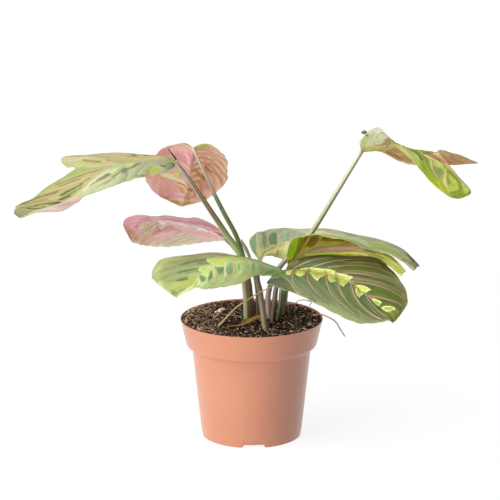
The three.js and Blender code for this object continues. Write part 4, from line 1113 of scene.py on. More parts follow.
        (("6c9466", "5e8656", 1.0, 0.5, 0.95), "L", [[(121.5, 171.5), (124, 168), (127, 167.5),
         (127.5, 170), (125, 173), (121, 174.5)], (1.6, 1.6, [(106, 175), (110, 174.5)])]),
        (("96795e", "928064", 1.0, 0.5, 0.9), "L", [(1.6, 1.6, [(113, 177), (118, 174), (124, 169.5)]),
         (2, 2, [(128, 168.5), (134, 166.5), (140, 163.5)]), (1, 1, [(96, 188), (106, 183), (116, 178)])]),
        (("cfe08c", "c6d97e", 1.0, 0.5, 0.9), "L", [[(124.5, 165.5), (129, 163), (134.5, 163.5),
         (132, 167), (127, 168)], [(109, 172.5), (113, 169), (118, 167.5), (117, 170.5), (112, 173)]]),
        (("a9c08e", "b4c896", 1.4, 0.7, 0.8), "L", [(2.2, 2.2, [(128, 176), (136, 172), (144, 166)]),
         (2.4, 2.4, [(100, 190.5), (112, 186), (124, 181)]), (2, 2, [(86, 194), (96, 191.5)])]),
        (("d3b496", "d9a892", 1.0, 0.5, 0.75), "L", [(1.6, 1.6, [(122, 175.5), (127, 174)]),
         (1.2, 1.2, [(81.5, 191.5), (84, 188.5)])]),
        (("a5824e", "ad8c5a", 0.9, 0.4, 0.85), "L", [(1.4, 1.4, [(136, 176), (142, 176), (148, 176)])]),
        (("efe2ae", "ead9a0", 0.8, 0.4, 0.9), "L", [(1.2, 1.2, [(140, 172.5), (146, 174)]),
         (1.2, 1.2, [(152, 175), (157, 174), (161, 172.5)]), (1, 1, [(156, 165.5), (160.5, 167.5),
         (162.5, 170)])]),
        (("dbb182", "d2a577", 0.8, 0.3, 0.9), "L", [(1.5, 1.5, [(147.5, 166.5), (147.5, 171),
         (147.5, 175)])]),
        (("c9d552", "b4cb54", 0.8, 0.4, 1.0, None, "d8e07e"), "L", [[(149.5, 172.5), (149.5, 170),
         (152, 167), (156, 166), (159, 167), (161, 169), (160, 171), (157, 173), (153, 174.5)]]),
        (("bfc3a2", "a9a48c", 1.4, 0.8, 0.8), "L", [(3.4, 3.4, [(154, 162), (160, 163), (165, 164.5)]),
         (2, 2, [(142, 165), (146, 163)])]),
        (("7c6a52", "6c6244", 1.0, 0.5, 0.85), "L", [(1.2, 1.2, [(160, 165.5), (166, 167)])]),
        (("b0c890", "8fb06c", 1.4, 0.8, 0.9), "L", [[(166.5, 164), (168, 161), (172, 162), (176, 162.5),
         (176, 168), (174, 170.5), (170.5, 173.5), (167.5, 171), (166, 167.5)]]),
        (("56653a", "5f6c3c", 1.2, 0.6, 0.8), "L", [(1.8, 1.8, [(170.5, 170.5), (175, 169.5)]),
         (1.4, 1.4, [(173, 164), (174.5, 168)])]),
        (("b3a58c", "a59a86", 1.2, 0.6, 0.8), "R", [(1.6, 1.6, [(129.5, 157), (135, 156.5)]),
         (0.9, 0.9, [(146, 156), (150, 156)])]),
        (("6a6e3c", "74783f", 0.7, 0.3, 0.9), "R", [(0.9, 0.9, [(132.5, 155), (134.5, 155.5)]),
         (0.9, 0.9, [(145.5, 156), (147, 156)])]),
        (("a8b583", "b0b984", 1.4, 0.6, 0.85), "", [[(10, 207), (16, 206.5), (22, 208.5), (28, 211),
         (29, 214), (24, 218), (18, 221), (12, 214)]]),
        (("7d8560", "868c66", 1.0, 0.4, 0.85), "", [(1.6, 1.6, [(13.4, 209), (15, 214), (18.6, 219)]),
         (1.4, 1.4, [(20, 219), (26.5, 215.5)])]),
    ],
    "leaf_b": [
        (("b07371", "b47b77", 2.0, 1.0, 0.8), "", [[(150, 157), (156, 151), (162, 147.5), (169, 148),
         (170, 152), (170, 157)]]),
        (("b47c7a", "af7478", 2.4, 1.2, 0.7), "", [(8, 8, [(178, 156), (184, 158)]), (5, 5, [(191, 155),
         (193, 160)])]),
        (("c89688", "cb9c8c", 2.0, 1.0, 0.7), "", [(4, 4, [(172, 148), (182, 145.5), (190, 148)])]),
        (("a6a05c", "b39f5e", 1.4, 0.8, 0.9), "", [[(194, 149), (197, 146), (203, 143), (207, 144),
         (210, 147), (213, 149.5), (208, 149), (202, 148.5), (197, 151)]]),
        (("d09488", "cc9582", 2.0, 1.0, 0.75), "", [(5, 5, [(203, 153), (212, 154), (219, 158)])]),
        (("cf8289", "cb8688", 1.4, 0.8, 0.85), "", [(3, 3, [(203.5, 157), (206, 161.5)])]),
        (("c3a97c", "bda56e", 1.0, 0.5, 0.85), "", [(1.8, 1.8, [(211, 157.5), (218, 159), (223.5, 162.5),
         (226, 168), (226, 175)]), (1.6, 1.6, [(209.5, 161), (215, 163), (220, 167), (223, 172),
         (223.5, 178)]), (1.2, 2.6, [(208, 171), (212, 175), (215, 180), (217.5, 185.5)])]),
        (("c27a68", "b96f60", 0.9, 0.5, 0.85), "", [(1.3, 1.3, [(208.5, 162.5), (214, 165), (219.5, 169),
         (222.5, 174.5)]), (2, 1.4, [(206, 167), (210, 170), (215, 173.5), (219, 178), (221.5, 184)]),
         (0.9, 0.9, [(212, 159), (218, 160.5), (222.5, 164.5)])]),
        (("8a5130", "9a5c38", 0.9, 0.4, 0.9), "", [(2.2, 1, [(205, 165.5), (208, 169.5), (212, 172)]),
         (1, 1, [(221.5, 182), (221.5, 187)])]),
        (("d99f8c", "dba494", 1.8, 0.8, 0.8), "", [(4, 4, [(214, 186), (217, 191)]),
         (2.4, 2.4, [(224, 182), (221, 189)])]),
        (("b8825a", "b48550", 1.4, 0.8, 0.85), "", [(3, 3, [(193, 168), (199, 174), (203, 180)])]),
        (("9c8a4c", "8a8446", 1.0, 0.5, 0.85), "", [(1.2, 1.2, [(190, 166), (196, 171.5), (202, 177)]),
         (2, 2, [(198, 174.5), (203, 178.5)])]),
        (("6e5a2a", "7a6330", 0.8, 0.4, 0.85), "", [(1.4, 1.4, [(202, 176), (205, 180.5)]),
         (0.7, 0.7, [(189, 164), (195, 169), (200, 173.5)])]),
        (("c98a74", "cb8270", 1.6, 0.8, 0.85), "", [[(198, 180), (203, 180), (208, 188), (210, 196),
         (205, 194), (200, 187)]]),
        (("dfa89a", "e3b1a6", 1.6, 0.8, 0.85), "", [(4, 4, [(206, 192), (209, 197)])]),
        (("df9c96", "e4a8a0", 2.4, 1.4, 0.85), "", [[(156, 179), (166, 180), (176, 183), (182, 188),
         (182, 194), (174, 194), (166, 190), (158, 187)]]),
        (("e9a6a4", "eeb2b0", 2.2, 1.2, 0.8), "", [[(144, 178), (152, 178.5), (156, 184), (162, 190),
         (168, 196), (160, 198), (150, 190), (145, 184)]]),
        (("e294a2", "dd8f98", 1.4, 0.8, 0.85), "", [(3.4, 3.4, [(170, 195.5), (176, 196)]),
         (2.4, 2.4, [(159, 191.5), (164, 193.5)])]),
        (("e4969a", "dd8b8e", 1.6, 0.8, 0.85), "", [(3.6, 3.6, [(188, 196.5), (195, 198.5)])]),
        (("efb6ae", "eab0ac", 1.4, 0.7, 0.85), "", [(2.6, 2.6, [(171, 199), (180, 199.5), (190, 200.5),
         (198, 201)]), (1.6, 1.6, [(176, 193.5), (184, 195)])]),
        (("c69a62", "c8a070", 1.4, 0.8, 0.85), "", [[(177, 184.5), (183, 185.5), (188, 189.5), (190, 194),
         (184, 194), (179, 190)]]),
        (("c07a6c", "b97468", 1.2, 0.6, 0.8), "", [(2, 2, [(180.5, 188), (183, 192)])]),
        (("8d7438", "80703a", 0.8, 0.4, 0.9), "", [(1.3, 1.3, [(178, 182.5), (184, 184.5), (188.5, 188.5),
         (191, 191.5)])]),
        (("e2c57c", "d9b868", 0.8, 0.4, 0.9), "", [(1.2, 1.2, [(179, 184.5), (184, 187), (189, 191)])]),
        (("c39a58", "b08c4a", 0.9, 0.4, 0.85), "", [(1.2, 1.2, [(160, 177.5), (168, 178.5), (176, 180.5),
         (180, 182)])]),
        (("e6dda2", "e3cf96", 1.0, 0.5, 1.0), "", [[(160, 174.5), (168, 173), (174, 174.5), (178, 178),
         (184, 180), (186, 184.5), (180, 182.5), (172, 179.5), (164, 177.5)]]),
        (("bfd45c", "c6d86a", 0.8, 0.4, 1.0), "", [[(173, 174.5), (175.5, 171.5), (179.5, 172.5),
         (178.5, 176.5), (175.5, 177.5)]]),
        (("b79a60", "ac9558", 1.4, 0.8, 0.9), "", [[(168, 200), (176, 200.5), (184, 203), (194, 202.5),
         (199, 204), (190, 208), (180, 209), (170, 203)]]),
        (("8a6a58", "957462", 0.8, 0.4, 0.7), "", [(0.8, 0.8, [(144, 180), (147, 186.5), (153, 192),
         (160, 196.5), (168, 198)]), (0.8, 0.8, [(155, 153), (162, 148), (170, 147.5), (178, 143.5)]),
         (0.8, 0.8, [(225, 154), (227.5, 164), (228, 172), (225, 182), (220, 190)])]),
    ],
    "leaf_c": [
        (("c5ada6", "bba79c", 1.4, 0.6, 0.85), "", [(2, 2, [(150, 216.5), (168, 217), (184, 218.5),
         (198, 219.5), (210, 222), (218, 228)])]),
        (("c08084", "ba7a7c", 2.0, 1.2, 0.8), "", [(2.4, 2, [(163, 218.5), (176, 220.5), (188, 222),
         (200, 223), (209, 225), (216, 229)]), [(136, 222), (142, 218), (150, 217.5), (152, 220),
         (145, 222.5), (139, 225)]]),
        (("b86a68", "a95f60", 1.1, 0.6, 0.85), "", [[(133, 226.5), (138, 224), (142, 223.5), (141, 226),
         (136, 228.5)], (1, 1, [(168, 218.5), (180, 220.5)]), (1.2, 1.2, [(204, 224.5), (212, 227)])]),
        (("d69690", "cf8c8a", 2.0, 1.0, 0.85), "", [[(121, 224), (126, 219.5), (134, 217), (138, 218),
         (134, 223), (131, 229), (126, 231)]]),
        (("b9966c", "b08e62", 1.8, 0.9, 0.85), "", [[(123, 231), (130, 229.5), (134, 231), (136, 236),
         (138, 241), (132, 240), (127, 236)]]),
        (("7f7c5e", "8b8064", 0.9, 0.4, 0.85), "", [(1.2, 1.2, [(122.5, 227), (126, 233), (130.5, 238),
         (132.5, 242.5)]), (1.3, 1.3, [(146, 216), (155, 216.5), (165, 217)])]),
        (("687454", "76795c", 0.8, 0.3, 0.9), "", [(1.2, 1.2, [(150, 216), (158, 217), (165, 217)])]),
        (("c8b48c", "bcae86", 2.0, 1.3, 0.85), "", [[(138.5, 224.5), (143, 222.5), (150, 221.5),
         (157, 220.5), (163, 221.5), (167, 223.5), (164, 226.5), (160, 229.5), (157.5, 226.5), (154, 229),
         (151, 232), (147, 234), (144, 236), (141, 232), (139, 228)]]),
        (("a8a56e", "9fa070", 1.0, 0.6, 0.85), "", [(1.6, 1.6, [(158, 222), (160.5, 226.5)]),
         (1.2, 1.2, [(146, 226), (143, 230)])]),
        (("ae8560", "a47a58", 0.8, 0.4, 0.8), "", [(0.9, 0.9, [(156.5, 222.5), (152, 224.5),
         (149.5, 231)]), (0.8, 0.8, [(152, 222), (148, 225), (146, 231)]), (0.9, 0.9, [(157.5, 224),
         (157, 227.5), (154.5, 230.5)])]),
        (("dcdcc8", "d3cdb0", 0.9, 0.4, 0.9), "", [(1.8, 1.8, [(160.5, 221.5), (163.5, 223.5)])]),
        (("b87470", "c08480", 2.2, 1.4, 0.8), "", [[(151, 234), (154, 230), (157.5, 227.5), (161, 229.5),
         (166, 225.5), (170.5, 224.5), (174, 226.5), (173, 230), (166, 231.5), (160, 234), (154, 236)],
         (2.4, 2.4, [(172, 229), (180, 230.5)])]),
        (("a35c5a", "9c5856", 0.9, 0.4, 0.85), "", [(1.4, 1.4, [(157, 226.5), (159, 229.5)]),
         (0.9, 0.9, [(156, 231.5), (161, 230.5)])]),
        (("e4ccbc", "dec0b2", 1.6, 1.0, 0.8), "", [(1.2, 2.4, [(165, 221), (175, 222.5), (185, 224.5)]),
         (2.6, 1.6, [(185, 225), (194, 226), (203, 229), (212, 231)]), (1.6, 1.6, [(198, 229.5),
         (208, 230.5)]), (1, 1, [(211, 232.5), (218, 235)])]),
        (("e9ddc6", "e3cfba", 0.9, 0.4, 0.9), "", [(1.8, 1.8, [(199.5, 229), (206, 230.5)])]),
        (("7d5c50", "8a6a5a", 0.7, 0.3, 0.9), "", [(0.8, 1.1, [(207, 229.5), (213, 231), (218, 233),
         (222, 235)]), (0.6, 0.6, [(188, 224.5), (198, 225.5), (206, 227)])]),
        (("d69a94", "d2948e", 2.2, 1.2, 0.8), "", [(4, 4, [(186, 231), (196, 233), (206, 235),
         (215, 236.5)]), (2.4, 2.4, [(206, 235), (214, 236.5)])]),
        (("cb8f88", "d09a90", 1.4, 0.7, 0.8), "", [(3, 3, [(176, 232), (186, 233)]),
         (2.4, 2.4, [(146, 234.5), (150, 237)])]),
        (("cfa28c", "c99e84", 1.8, 0.9, 0.8), "", [(5, 5, [(142, 238), (154, 239), (166, 238)])]),
        (("bfb48c", "b3ad82", 1.4, 0.8, 0.85), "", [[(158, 246.5), (166, 241), (176, 237), (186, 233.5),
         (195, 234), (198, 238), (192, 241.5), (182, 244.5), (170, 247)]]),
        (("9c976e", "a39070", 0.7, 0.3, 0.8), "", [(0.7, 0.7, [(192, 235.5), (184, 238), (174, 241.5),
         (164, 245.5)]), (0.7, 0.7, [(184, 234.5), (174, 238), (164, 242), (156, 245)]),
         (0.7, 0.7, [(196, 237.5), (188, 240.5), (178, 243.5)]), (0.7, 0.7, [(176, 235), (166, 239),
         (158, 242.5), (152, 244.5)])]),
        (("cdc7a2", "c6c29a", 0.7, 0.3, 0.75), "", [(0.8, 0.8, [(189, 237.5), (180, 241), (170, 244.5)]),
         (0.8, 0.8, [(180, 237.5), (170, 241.5), (161, 245)])]),
        (("b3b160", "bab76c", 1.0, 0.6, 0.9), "", [(1.4, 2.4, [(139, 244), (146, 246), (152, 246.5)]),
         (2, 1, [(152, 246.5), (160, 246)])]),
        (("bac296", "c2c69c", 1.2, 0.6, 0.85), "", [(2.2, 2.2, [(160, 246.5), (172, 246.5),
         (184, 244.5)])]),
        (("c3a79c", "c9ab9f", 1.0, 0.5, 0.8), "", [(1.4, 1.4, [(190, 242), (202, 241.5), (214, 240.5)])]),
    ],
    "leaf_f": [
        (("62805a", "587a4a", 1.6, 0.8, 0.9), "", [[(249, 244), (252.5, 237), (256, 234.5), (256.5, 246),
         (257, 256), (253, 252)]]),
        (("587850", "62805c", 1.6, 0.8, 0.95), "", [[(261, 232), (265.5, 233), (266, 240), (266.5, 246),
         (264, 248.5), (262, 245), (260.5, 240)], [(270, 233), (277, 233.5), (276, 240), (277, 244.5),
         (270, 245), (268.5, 239)]]),
        (("7f9c82", "88a48a", 0.9, 0.6, 0.9), "", [[(281.5, 234), (288, 232), (289, 236), (288.5, 240.5),
         (281, 240.5), (279.5, 237)], [(294, 232), (302, 231), (306, 233), (301, 236), (296, 237.5),
         (293, 240), (292, 236.5)], (1.6, 1.6, [(262.5, 229.5), (262, 233)])]),
        (("b9a883", "b39e7a", 0.9, 0.4, 0.85), "", [(1.2, 1.2, [(256.5, 235), (257.5, 241), (258, 248),
         (258.5, 256)]), (1.4, 1.4, [(288, 229.5), (281.5, 233), (278.5, 236.5), (278.5, 241),
         (279.5, 246)])]),
        (("b58a72", "a9806a", 0.8, 0.3, 0.9), "", [(0.9, 1.4, [(259.5, 234), (260, 241), (262, 247.5),
         (263.5, 251.5)]), (0.8, 0.8, [(264, 252), (272, 251)])]),
        (("b98d90", "b08a86", 0.8, 0.3, 0.85), "", [(.9, 1.2, [(270.5, 231), (267, 235), (267, 240),
         (268.5, 246.5)]), (1.2, 1.6, [(296, 230.5), (292, 233.5), (290.5, 237.5), (289.5, 241)])]),
        (("a9b468", "b3bd76", 1.2, 0.9, 0.95), "", [[(258.5, 249), (262, 248), (264.5, 251), (262, 256),
         (259, 258)], [(264.5, 249.5), (268, 247), (270, 245.5), (277, 245), (281, 242.5), (287, 242),
         (291.5, 240.5), (290, 245), (287.5, 250), (286, 256), (288, 260), (284, 263), (279.5, 260),
         (276, 256), (270, 255.5), (265.5, 253)]]),
        (("c3cf92", "bac884", 1.4, 0.9, 0.85), "", [(3.6, 3.6, [(287.5, 244), (285, 250), (284.5, 258)]),
         (1.4, 1.4, [(292.5, 239.5), (289.5, 246), (286.5, 252)])]),
        (("bd9a76", "b8946e", 0.8, 0.4, 0.8), "", [(1, 1.2, [(266.5, 251), (271.5, 251), (277, 248.5),
         (283, 246.5)]), (1, 1, [(269, 246), (269.5, 250)]), (1, 1, [(272, 254), (278, 252.5)])]),
        (("5f7a3a", "6a7f40", 0.7, 0.4, 0.85), "", [(1.2, 1.2, [(277.5, 250.5), (277, 255)])]),
        (("c3cc94", "bcc38c", 1.6, 0.8, 0.8), "", [(4, 4, [(309, 233), (318, 232.5), (328, 234.5),
         (340, 236.5)])]),
        (("a4b88e", "9cb286", 1.6, 0.9, 0.85), "", [(4, 4, [(336, 232.5), (350, 239), (364, 242.5),
         (374, 245.5)]), (3, 3, [(294, 229.5), (304, 231.5)])]),
        (("c2a28e", "b8938a", 1.0, 0.6, 0.8), "", [(1.6, 1.6, [(322, 230.5), (332, 231), (342, 234.5)]),
         (1.4, 1.4, [(340, 238.5), (354, 242.5), (368, 247.5), (378, 251)])]),
        (("8e5f56", "9a6a5e", 0.7, 0.3, 0.85), "", [(1.2, 1.2, [(344, 233.5), (350, 235),
         (355, 236.5)])]),
        (("8fae66", "84a35a", 1.8, 1.0, 0.85), "", [[(368, 242), (378, 243), (388, 246), (396, 250),
         (404, 256), (408, 260), (400, 258.5), (390, 254), (380, 250), (370, 247.5)]]),
        (("b3a486", "a99a7c", 0.8, 0.4, 0.8), "", [(0.9, 0.9, [(370, 240.5), (380, 243.5), (390, 247.5),
         (398, 252), (405, 257.5)]), (0.8, 0.8, [(384, 240), (394, 244.5), (402, 250)])]),
        (("8c8a80", "8f9480", 0.9, 0.4, 0.85), "", [(1.8, 1.8, [(375, 239.5), (382, 240)]),
         (1.6, 1.6, [(386, 241), (393, 244)]), (1.2, 1.2, [(396, 246.5), (404, 252), (412, 259),
         (418, 265)])]),
        (("5c5f48", "6b6c50", 1.2, 0.5, 0.9), "", [[(405, 251), (410, 255), (416, 260), (422, 267),
         (417, 272), (414, 268), (411.5, 262), (407, 256)]]),
        (("727a52", "7f8858", 1.4, 0.7, 0.8), "", [(3, 3, [(402, 260), (408, 262), (413, 265)])]),
    ],
    "leaf_g": [
        (("83801e", "7c7a2c", 1.4, 1.0, 0.85), "", [[(296, 258), (304, 248), (312, 243), (322, 240),
         (338, 241), (350, 244), (340, 246.5), (326, 246.5), (314, 248.5), (304, 253), (298, 260)]]),
        (("8cb008", "96b818", 1.0, 0.7, 1.0), "", [[(286, 257), (287.5, 250), (291, 243), (294.5, 237.5),
         (299, 235.5), (300.5, 240), (298, 247), (295, 253), (291.5, 259.5), (288, 261)]]),
        # The next three markings are painted shade: the dark right side of the bright green lobe, and brown
        # patches where the underside lies in shadow.
        (("6a7410", "70680e", 1.0, 0.5, 0.9), "", [[(299.5, 238), (303, 237), (304.5, 242),
         (302.5, 249.5), (298.5, 252), (296.5, 250)]]),
        (("5a4a0c", "5f4e10", 0.9, 0.5, 0.95), "", [(1.6, 2.4, [(303.5, 247), (305.5, 241),
         (308.5, 236)]), [(306.5, 244.5), (309, 240), (312, 236.5), (317.5, 236), (319.5, 239),
         (317, 243.5), (313, 246.5), (308.5, 247)]]),
        (("66480c", "5c4a10", 0.9, 0.5, 0.95), "", [[(320.5, 239), (324, 236.5), (330, 237), (337, 238.5),
         (345, 239.5), (352, 242), (343, 241.5), (336, 241.5), (328, 241), (322, 241)]]),
        (("a38a50", "9a8240", 0.8, 0.3, 0.85), "", [(1, 1, [(301, 252.5), (304.5, 245), (308, 239),
         (311.5, 236)]), (1.1, 1.1, [(314, 248), (318.5, 242), (321.5, 238), (324.5, 236)])]),
        (("8f8a30", "95913c", 0.9, 0.5, 0.8), "", [(1.6, 1.6, [(298, 256), (303, 250.5), (308, 248)])]),
        (("65521c", "6f5a24", 0.9, 0.5, 0.85), "", [(1.2, 1.2, [(314, 249), (322, 247.5), (332, 247),
         (342, 245.5), (350, 245)])]),
        (("ab7d70", "a17468", 1.3, 0.8, 0.9), "", [(1.4, 2.8, [(306, 252), (314, 251), (324, 250)]),
         (3.2, 4, [(324, 250), (338, 249), (352, 248)]), (4, 1.6, [(352, 248), (364, 248.5),
         (374, 251.5)])]),
        (("a66a68", "b07a72", 1.0, 0.5, 0.85), "", [(2, 2, [(348, 246.5), (358, 247), (367, 248.5)])]),
        (("7f5a3a", "8a6644", 0.7, 0.3, 0.8), "", [(0.8, 0.8, [(310, 251.5), (322, 251), (336, 251),
         (350, 250.5)])]),
        (("adb92e", "9fad24", 1.0, 0.6, 1.0), "", [(1.4, 2, [(305, 254.5), (312, 254.5), (322, 254)]),
         (2.2, 2.8, [(322, 254), (336, 253), (351.5, 253)])]),
        (("c3c25c", "b6b850", 1.0, 0.5, 0.9), "", [(2, 2.2, [(353, 253), (360, 253.5), (367, 255)]),
         (1, 1, [(317, 255), (325, 254.5)])]),
        (("a4ab50", "98a246", 1.6, 1.0, 0.95), "", [[(366, 252), (376, 252.5), (384, 255), (392, 260),
         (400, 266), (408, 272), (404, 278), (398, 276), (392, 268), (384, 261), (374, 256)]]),
        (("7d8c14", "738020", 0.9, 0.4, 0.95), "", [[(367.5, 252), (374, 252.5), (381, 256),
         (386.5, 259.5), (382, 259.5), (375, 256), (369.5, 253)], (1.2, 1.2, [(384, 254.5), (389, 257),
         (393, 260)])]),
        (("b9a870", "b09c62", 0.9, 0.4, 0.6), "", [(.9, 1.1, [(375.5, 252), (382, 255), (389, 259),
         (396, 264)])]),
        (("b6bc60", "aab254", 1.4, 0.8, 0.7), "", [(2, 2, [(384, 261), (391, 266), (396, 271.5)])]),
        (("a89c34", "b0a63c", 1.0, 0.5, 0.85), "", [(2.4, 2.4, [(398.5, 271), (400.5, 272.5)])]),
        (("9aa070", "8f9662", 1.2, 0.5, 0.85), "", [(1.8, 1.8, [(399, 264), (404, 268.5), (407, 272)]),
         (1.4, 1.4, [(406, 272), (403.5, 276)])]),
    ],
    "leaf_e": [
        (("d5dac0", "c6d0b0", 2.0, 1.0, 0.95), "R", [[(359, 148), (359, 138), (364, 132), (370, 126),
         (378, 126), (386, 132), (390, 138), (384, 143), (378, 145), (372, 146), (366, 147)]]),
        (("dde0d2", "e3e4da", 1.6, 0.6, 0.8), "R", [(4, 4, [(372, 131), (380, 131.5)])]),
        (("b7c07a", "bfc068", 1.6, 0.8, 0.85), "R", [(4.6, 4.6, [(363.5, 147), (364.5, 141),
         (367, 136.5)])]),
        (("b4c49c", "c0cca6", 1.2, 0.8, 0.7), "R", [(1.6, 1.6, [(370, 146), (370.5, 139), (374, 133)]),
         (1.4, 1.4, [(376, 139), (380, 133)])]),
        (("c6be7e", "bcb470", 1.4, 0.6, 0.9), "R", [[(362, 149.5), (368, 146), (378, 145.5), (390, 144.5),
         (397, 144), (399, 147), (392, 147.5), (382, 149), (370, 150)]]),
        (("a87c5e", "b08a68", 0.7, 0.4, 0.85), "R", [(0.9, 0.6, [(374.5, 145), (375.3, 141.5)]),
         (0.9, 0.6, [(377, 145), (378, 140.5)]), (0.9, 0.6, [(379.5, 144.5), (380.5, 140)]),
         (0.9, 0.6, [(382, 144), (383, 140.5)]), [(384.5, 141.5), (386.5, 138), (389.5, 140), (392, 144),
         (388, 144), (385.5, 143.5)]]),
        (("7a6a34", "856a40", 0.7, 0.4, 0.85), "R", [(1, 1, [(388, 140.5), (391.5, 144)]),
         (0.8, 0.8, [(375.5, 145), (379, 145)])]),
        (("b3ac7a", "a7a46c", 0.9, 0.4, 0.85), "R", [(1.4, 1.4, [(383.5, 133), (388, 137.5),
         (392.5, 142)])]),
        (("b28c68", "a9835e", 1.4, 0.9, 0.9), "L", [[(380, 150), (390, 147.5), (398, 147), (406, 153),
         (414, 160), (420, 166), (408, 166), (396, 162), (386, 156)]]),
        (("8f6448", "99694c", 1.1, 0.6, 0.9), "L", [(1.6, 2.6, [(383, 150.5), (388, 153), (394, 156)]),
         (2.6, 1.2, [(394, 156), (400, 159), (406, 161.5)]), (0.9, 0.9, [(399, 158.5), (406, 158),
         (411, 161)])]),
        (("c9a392", "be9488", 1.0, 0.5, 0.85), "L", [(1.6, 1.6, [(383, 152.5), (390, 157), (398, 161),
         (406, 163.5), (416, 165)])]),
        (("8f8a4c", "a3904e", 1.0, 0.5, 0.8), "L", [(1.4, 1.4, [(389, 150), (395, 150), (399, 151)]),
         (1, 1, [(400, 156), (406, 156)]), (1.2, 1.2, [(404, 160.5), (409, 161.5)])]),
        (("d3b696", "cba888", 0.8, 0.4, 0.85), "", [(1.2, 1.2, [(384, 150), (391, 148), (398, 147.5)]),
         (0.9, 0.9, [(396, 153.5), (403, 154.5)])]),
        (("8b8a50", "96905a", 0.8, 0.3, 0.8), "", [(1, 1, [(367, 151), (374, 150), (381, 149), (388, 148),
         (395, 146.5)])]),
        (("dcee84", "e4f29a", 1.4, 0.8, 0.95), "R", [[(393, 143), (400, 145), (408, 149), (414, 153),
         (420, 158), (421, 165), (424, 172), (417, 166), (409, 158.5), (401, 151.5), (396, 147.5)]]),
        (("dbe38a", "d3dd84", 0.9, 0.4, 0.85), "R", [(1.8, 1.8, [(399, 150), (407, 156), (415, 163)]),
         (1.6, 1.6, [(400, 146.5), (408, 150.5), (416, 155.5)]), (1, 1, [(417, 157), (420.5, 163)])]),
        (("8f9060", "86845a", 0.8, 0.4, 0.85), "R", [(1.3, 1.3, [(399, 144), (404, 145), (408, 147)]),
         (1.3, 1.3, [(408, 147.5), (412, 149)])]),
        (("7d7c3c", "6f6f34", 0.7, 0.3, 0.9), "R", [(1.1, 1.1, [(413, 149.5), (416.5, 152.5),
         (420, 156.5), (421.5, 160)])]),
        (("7f8f56", "8a985e", 0.9, 0.5, 0.9), "R", [[(421, 155.5), (424, 155.5), (428, 158), (429.5, 161),
         (426, 160.5), (422, 158.5)]]),
        (("96b038", "a0ba40", 1.8, 1.0, 0.8), "R", [(4, 4, [(424, 163), (427, 170), (431, 177)]),
         (3, 3, [(452, 178), (455, 184), (457, 188)])]),
        (("b6c92c", "aec41c", 1.4, 0.8, 0.95), "R", [(3, 4.6, [(421, 169), (427, 178), (434, 184.5)]),
         (4.6, 2.6, [(434, 184.5), (440, 188), (445, 190)])]),
        (("c6cc86", "bdc678", 1.0, 0.5, 0.8), "R", [(1.2, 1.2, [(420, 167.5), (424, 176), (430, 183),
         (438, 189)])]),
        (("707a3c", "7c8650", 0.9, 0.5, 0.95), "R", [[(432.5, 162.5), (435, 166.5), (438, 168),
         (442, 169.5), (443.5, 173), (443, 177.5), (438.5, 177), (435, 173.5), (433, 168.5)],
         [(446, 172.5), (449, 174.5), (448.5, 179), (450, 183), (450.5, 186), (447.5, 183), (446, 179)]]),
        (("665a24", "6c6428", 0.7, 0.3, 0.9), "R", [(1.2, 1.2, [(432.5, 163.5), (434, 169.5),
         (436, 174.5)]), (1, 1, [(446.5, 174), (447, 179.5), (449, 185)])]),
        (("a9bb58", "b7c468", 1.2, 0.6, 0.85), "R", [(3, 3, [(439, 179), (441, 185)]),
         (2.2, 2.2, [(434, 163.5), (440, 166.5)])]),
        (("dccf9a", "d3c288", 0.8, 0.3, 0.95, "8f9448"), "R", [(.9, 1.1, [(430.5, 160.5), (431, 165),
         (432, 169.5), (434.5, 174.5)]), (1.1, 0.6, [(434.5, 174.5), (437.5, 178.5)]),
         (1.2, 1.1, [(446, 170), (445, 174), (444.5, 179), (445, 184)]), (1.1, .7, [(445, 184),
         (447.5, 189.5)])]),
        (("b4b468", "aaac5c", 1.4, 0.8, 0.6), "R", [(2, 2, [(446.5, 187), (449, 190.5)])]),
        (("7e8a12", "6f7a1e", 1.2, 0.7, 0.95), "R", [[(451, 192), (456, 190), (460.5, 187), (463, 190),
         (466, 193), (472, 194), (473, 199), (462, 199), (452, 201), (449, 194)]]),
        (("656b3a", "70733f", 1.0, 0.4, 0.9), "R", [(2, 2, [(451, 197), (455, 198.5)]),
         (2.2, 2.2, [(466, 195.5), (471, 195)]), (1.4, 1.4, [(471.5, 187.5), (472.5, 192)])]),
        (("b5ae76", "a9a766", 1.2, 0.6, 0.9), "R", [[(446, 166), (452, 168), (458, 173.5), (465, 180),
         (472, 187), (472, 192), (464, 188), (460, 182), (454, 176), (448, 170.5)]]),
        (("696a22", "75722c", 0.7, 0.3, 0.95), "R", [(1.4, 1.2, [(447.5, 171), (452, 175), (457, 179.5)]),
         (1.2, 1.6, [(457, 179.5), (460, 184), (461.5, 189)])]),
        (("ac8660", "b59068", 1.4, 0.8, 0.95), "", [[(423, 154), (430, 149.5), (442, 149.5), (456, 154),
         (470, 158.5), (479, 162.5), (470, 165), (450, 166.5), (442, 163), (434, 158.5)]]),
        (("8d8a50", "7d7c44", 0.9, 0.4, 0.9), "", [(1.4, 1.4, [(424, 153), (431, 150.5), (440, 150.5),
         (448, 153)]), (1.2, 1.2, [(448, 153), (456, 155.5), (464, 158.5), (471, 159.5)])]),
        (("c3b27e", "b9a874", 0.9, 0.5, 0.85), "", [(1.6, 1.6, [(431, 152.5), (440, 152.5),
         (448, 155)])]),
        (("8c5a48", "95644e", 0.8, 0.4, 0.9), "", [(1.6, 1.6, [(435, 156.5), (440, 160), (445.5, 163.5)]),
         (0.9, 0.9, [(424, 153.5), (430, 154)])]),
        (("c27e6e", "bc7a68", 1.2, 0.6, 0.85), "", [(3, 3, [(446, 159.5), (449, 163.5)]),
         (1, 1, [(462, 161.5), (471, 161.5)])]),
        (("c9998c", "c29082", 0.8, 0.4, 0.85), "", [(1.2, 1.2, [(448, 165.5), (460, 165), (474, 164)])]),
        (("d6cba0", "ccbf92", 0.8, 0.3, 0.9), "", [(1, 1.6, [(424, 155), (430, 157.5), (436, 161.5),
         (442, 165)])]),
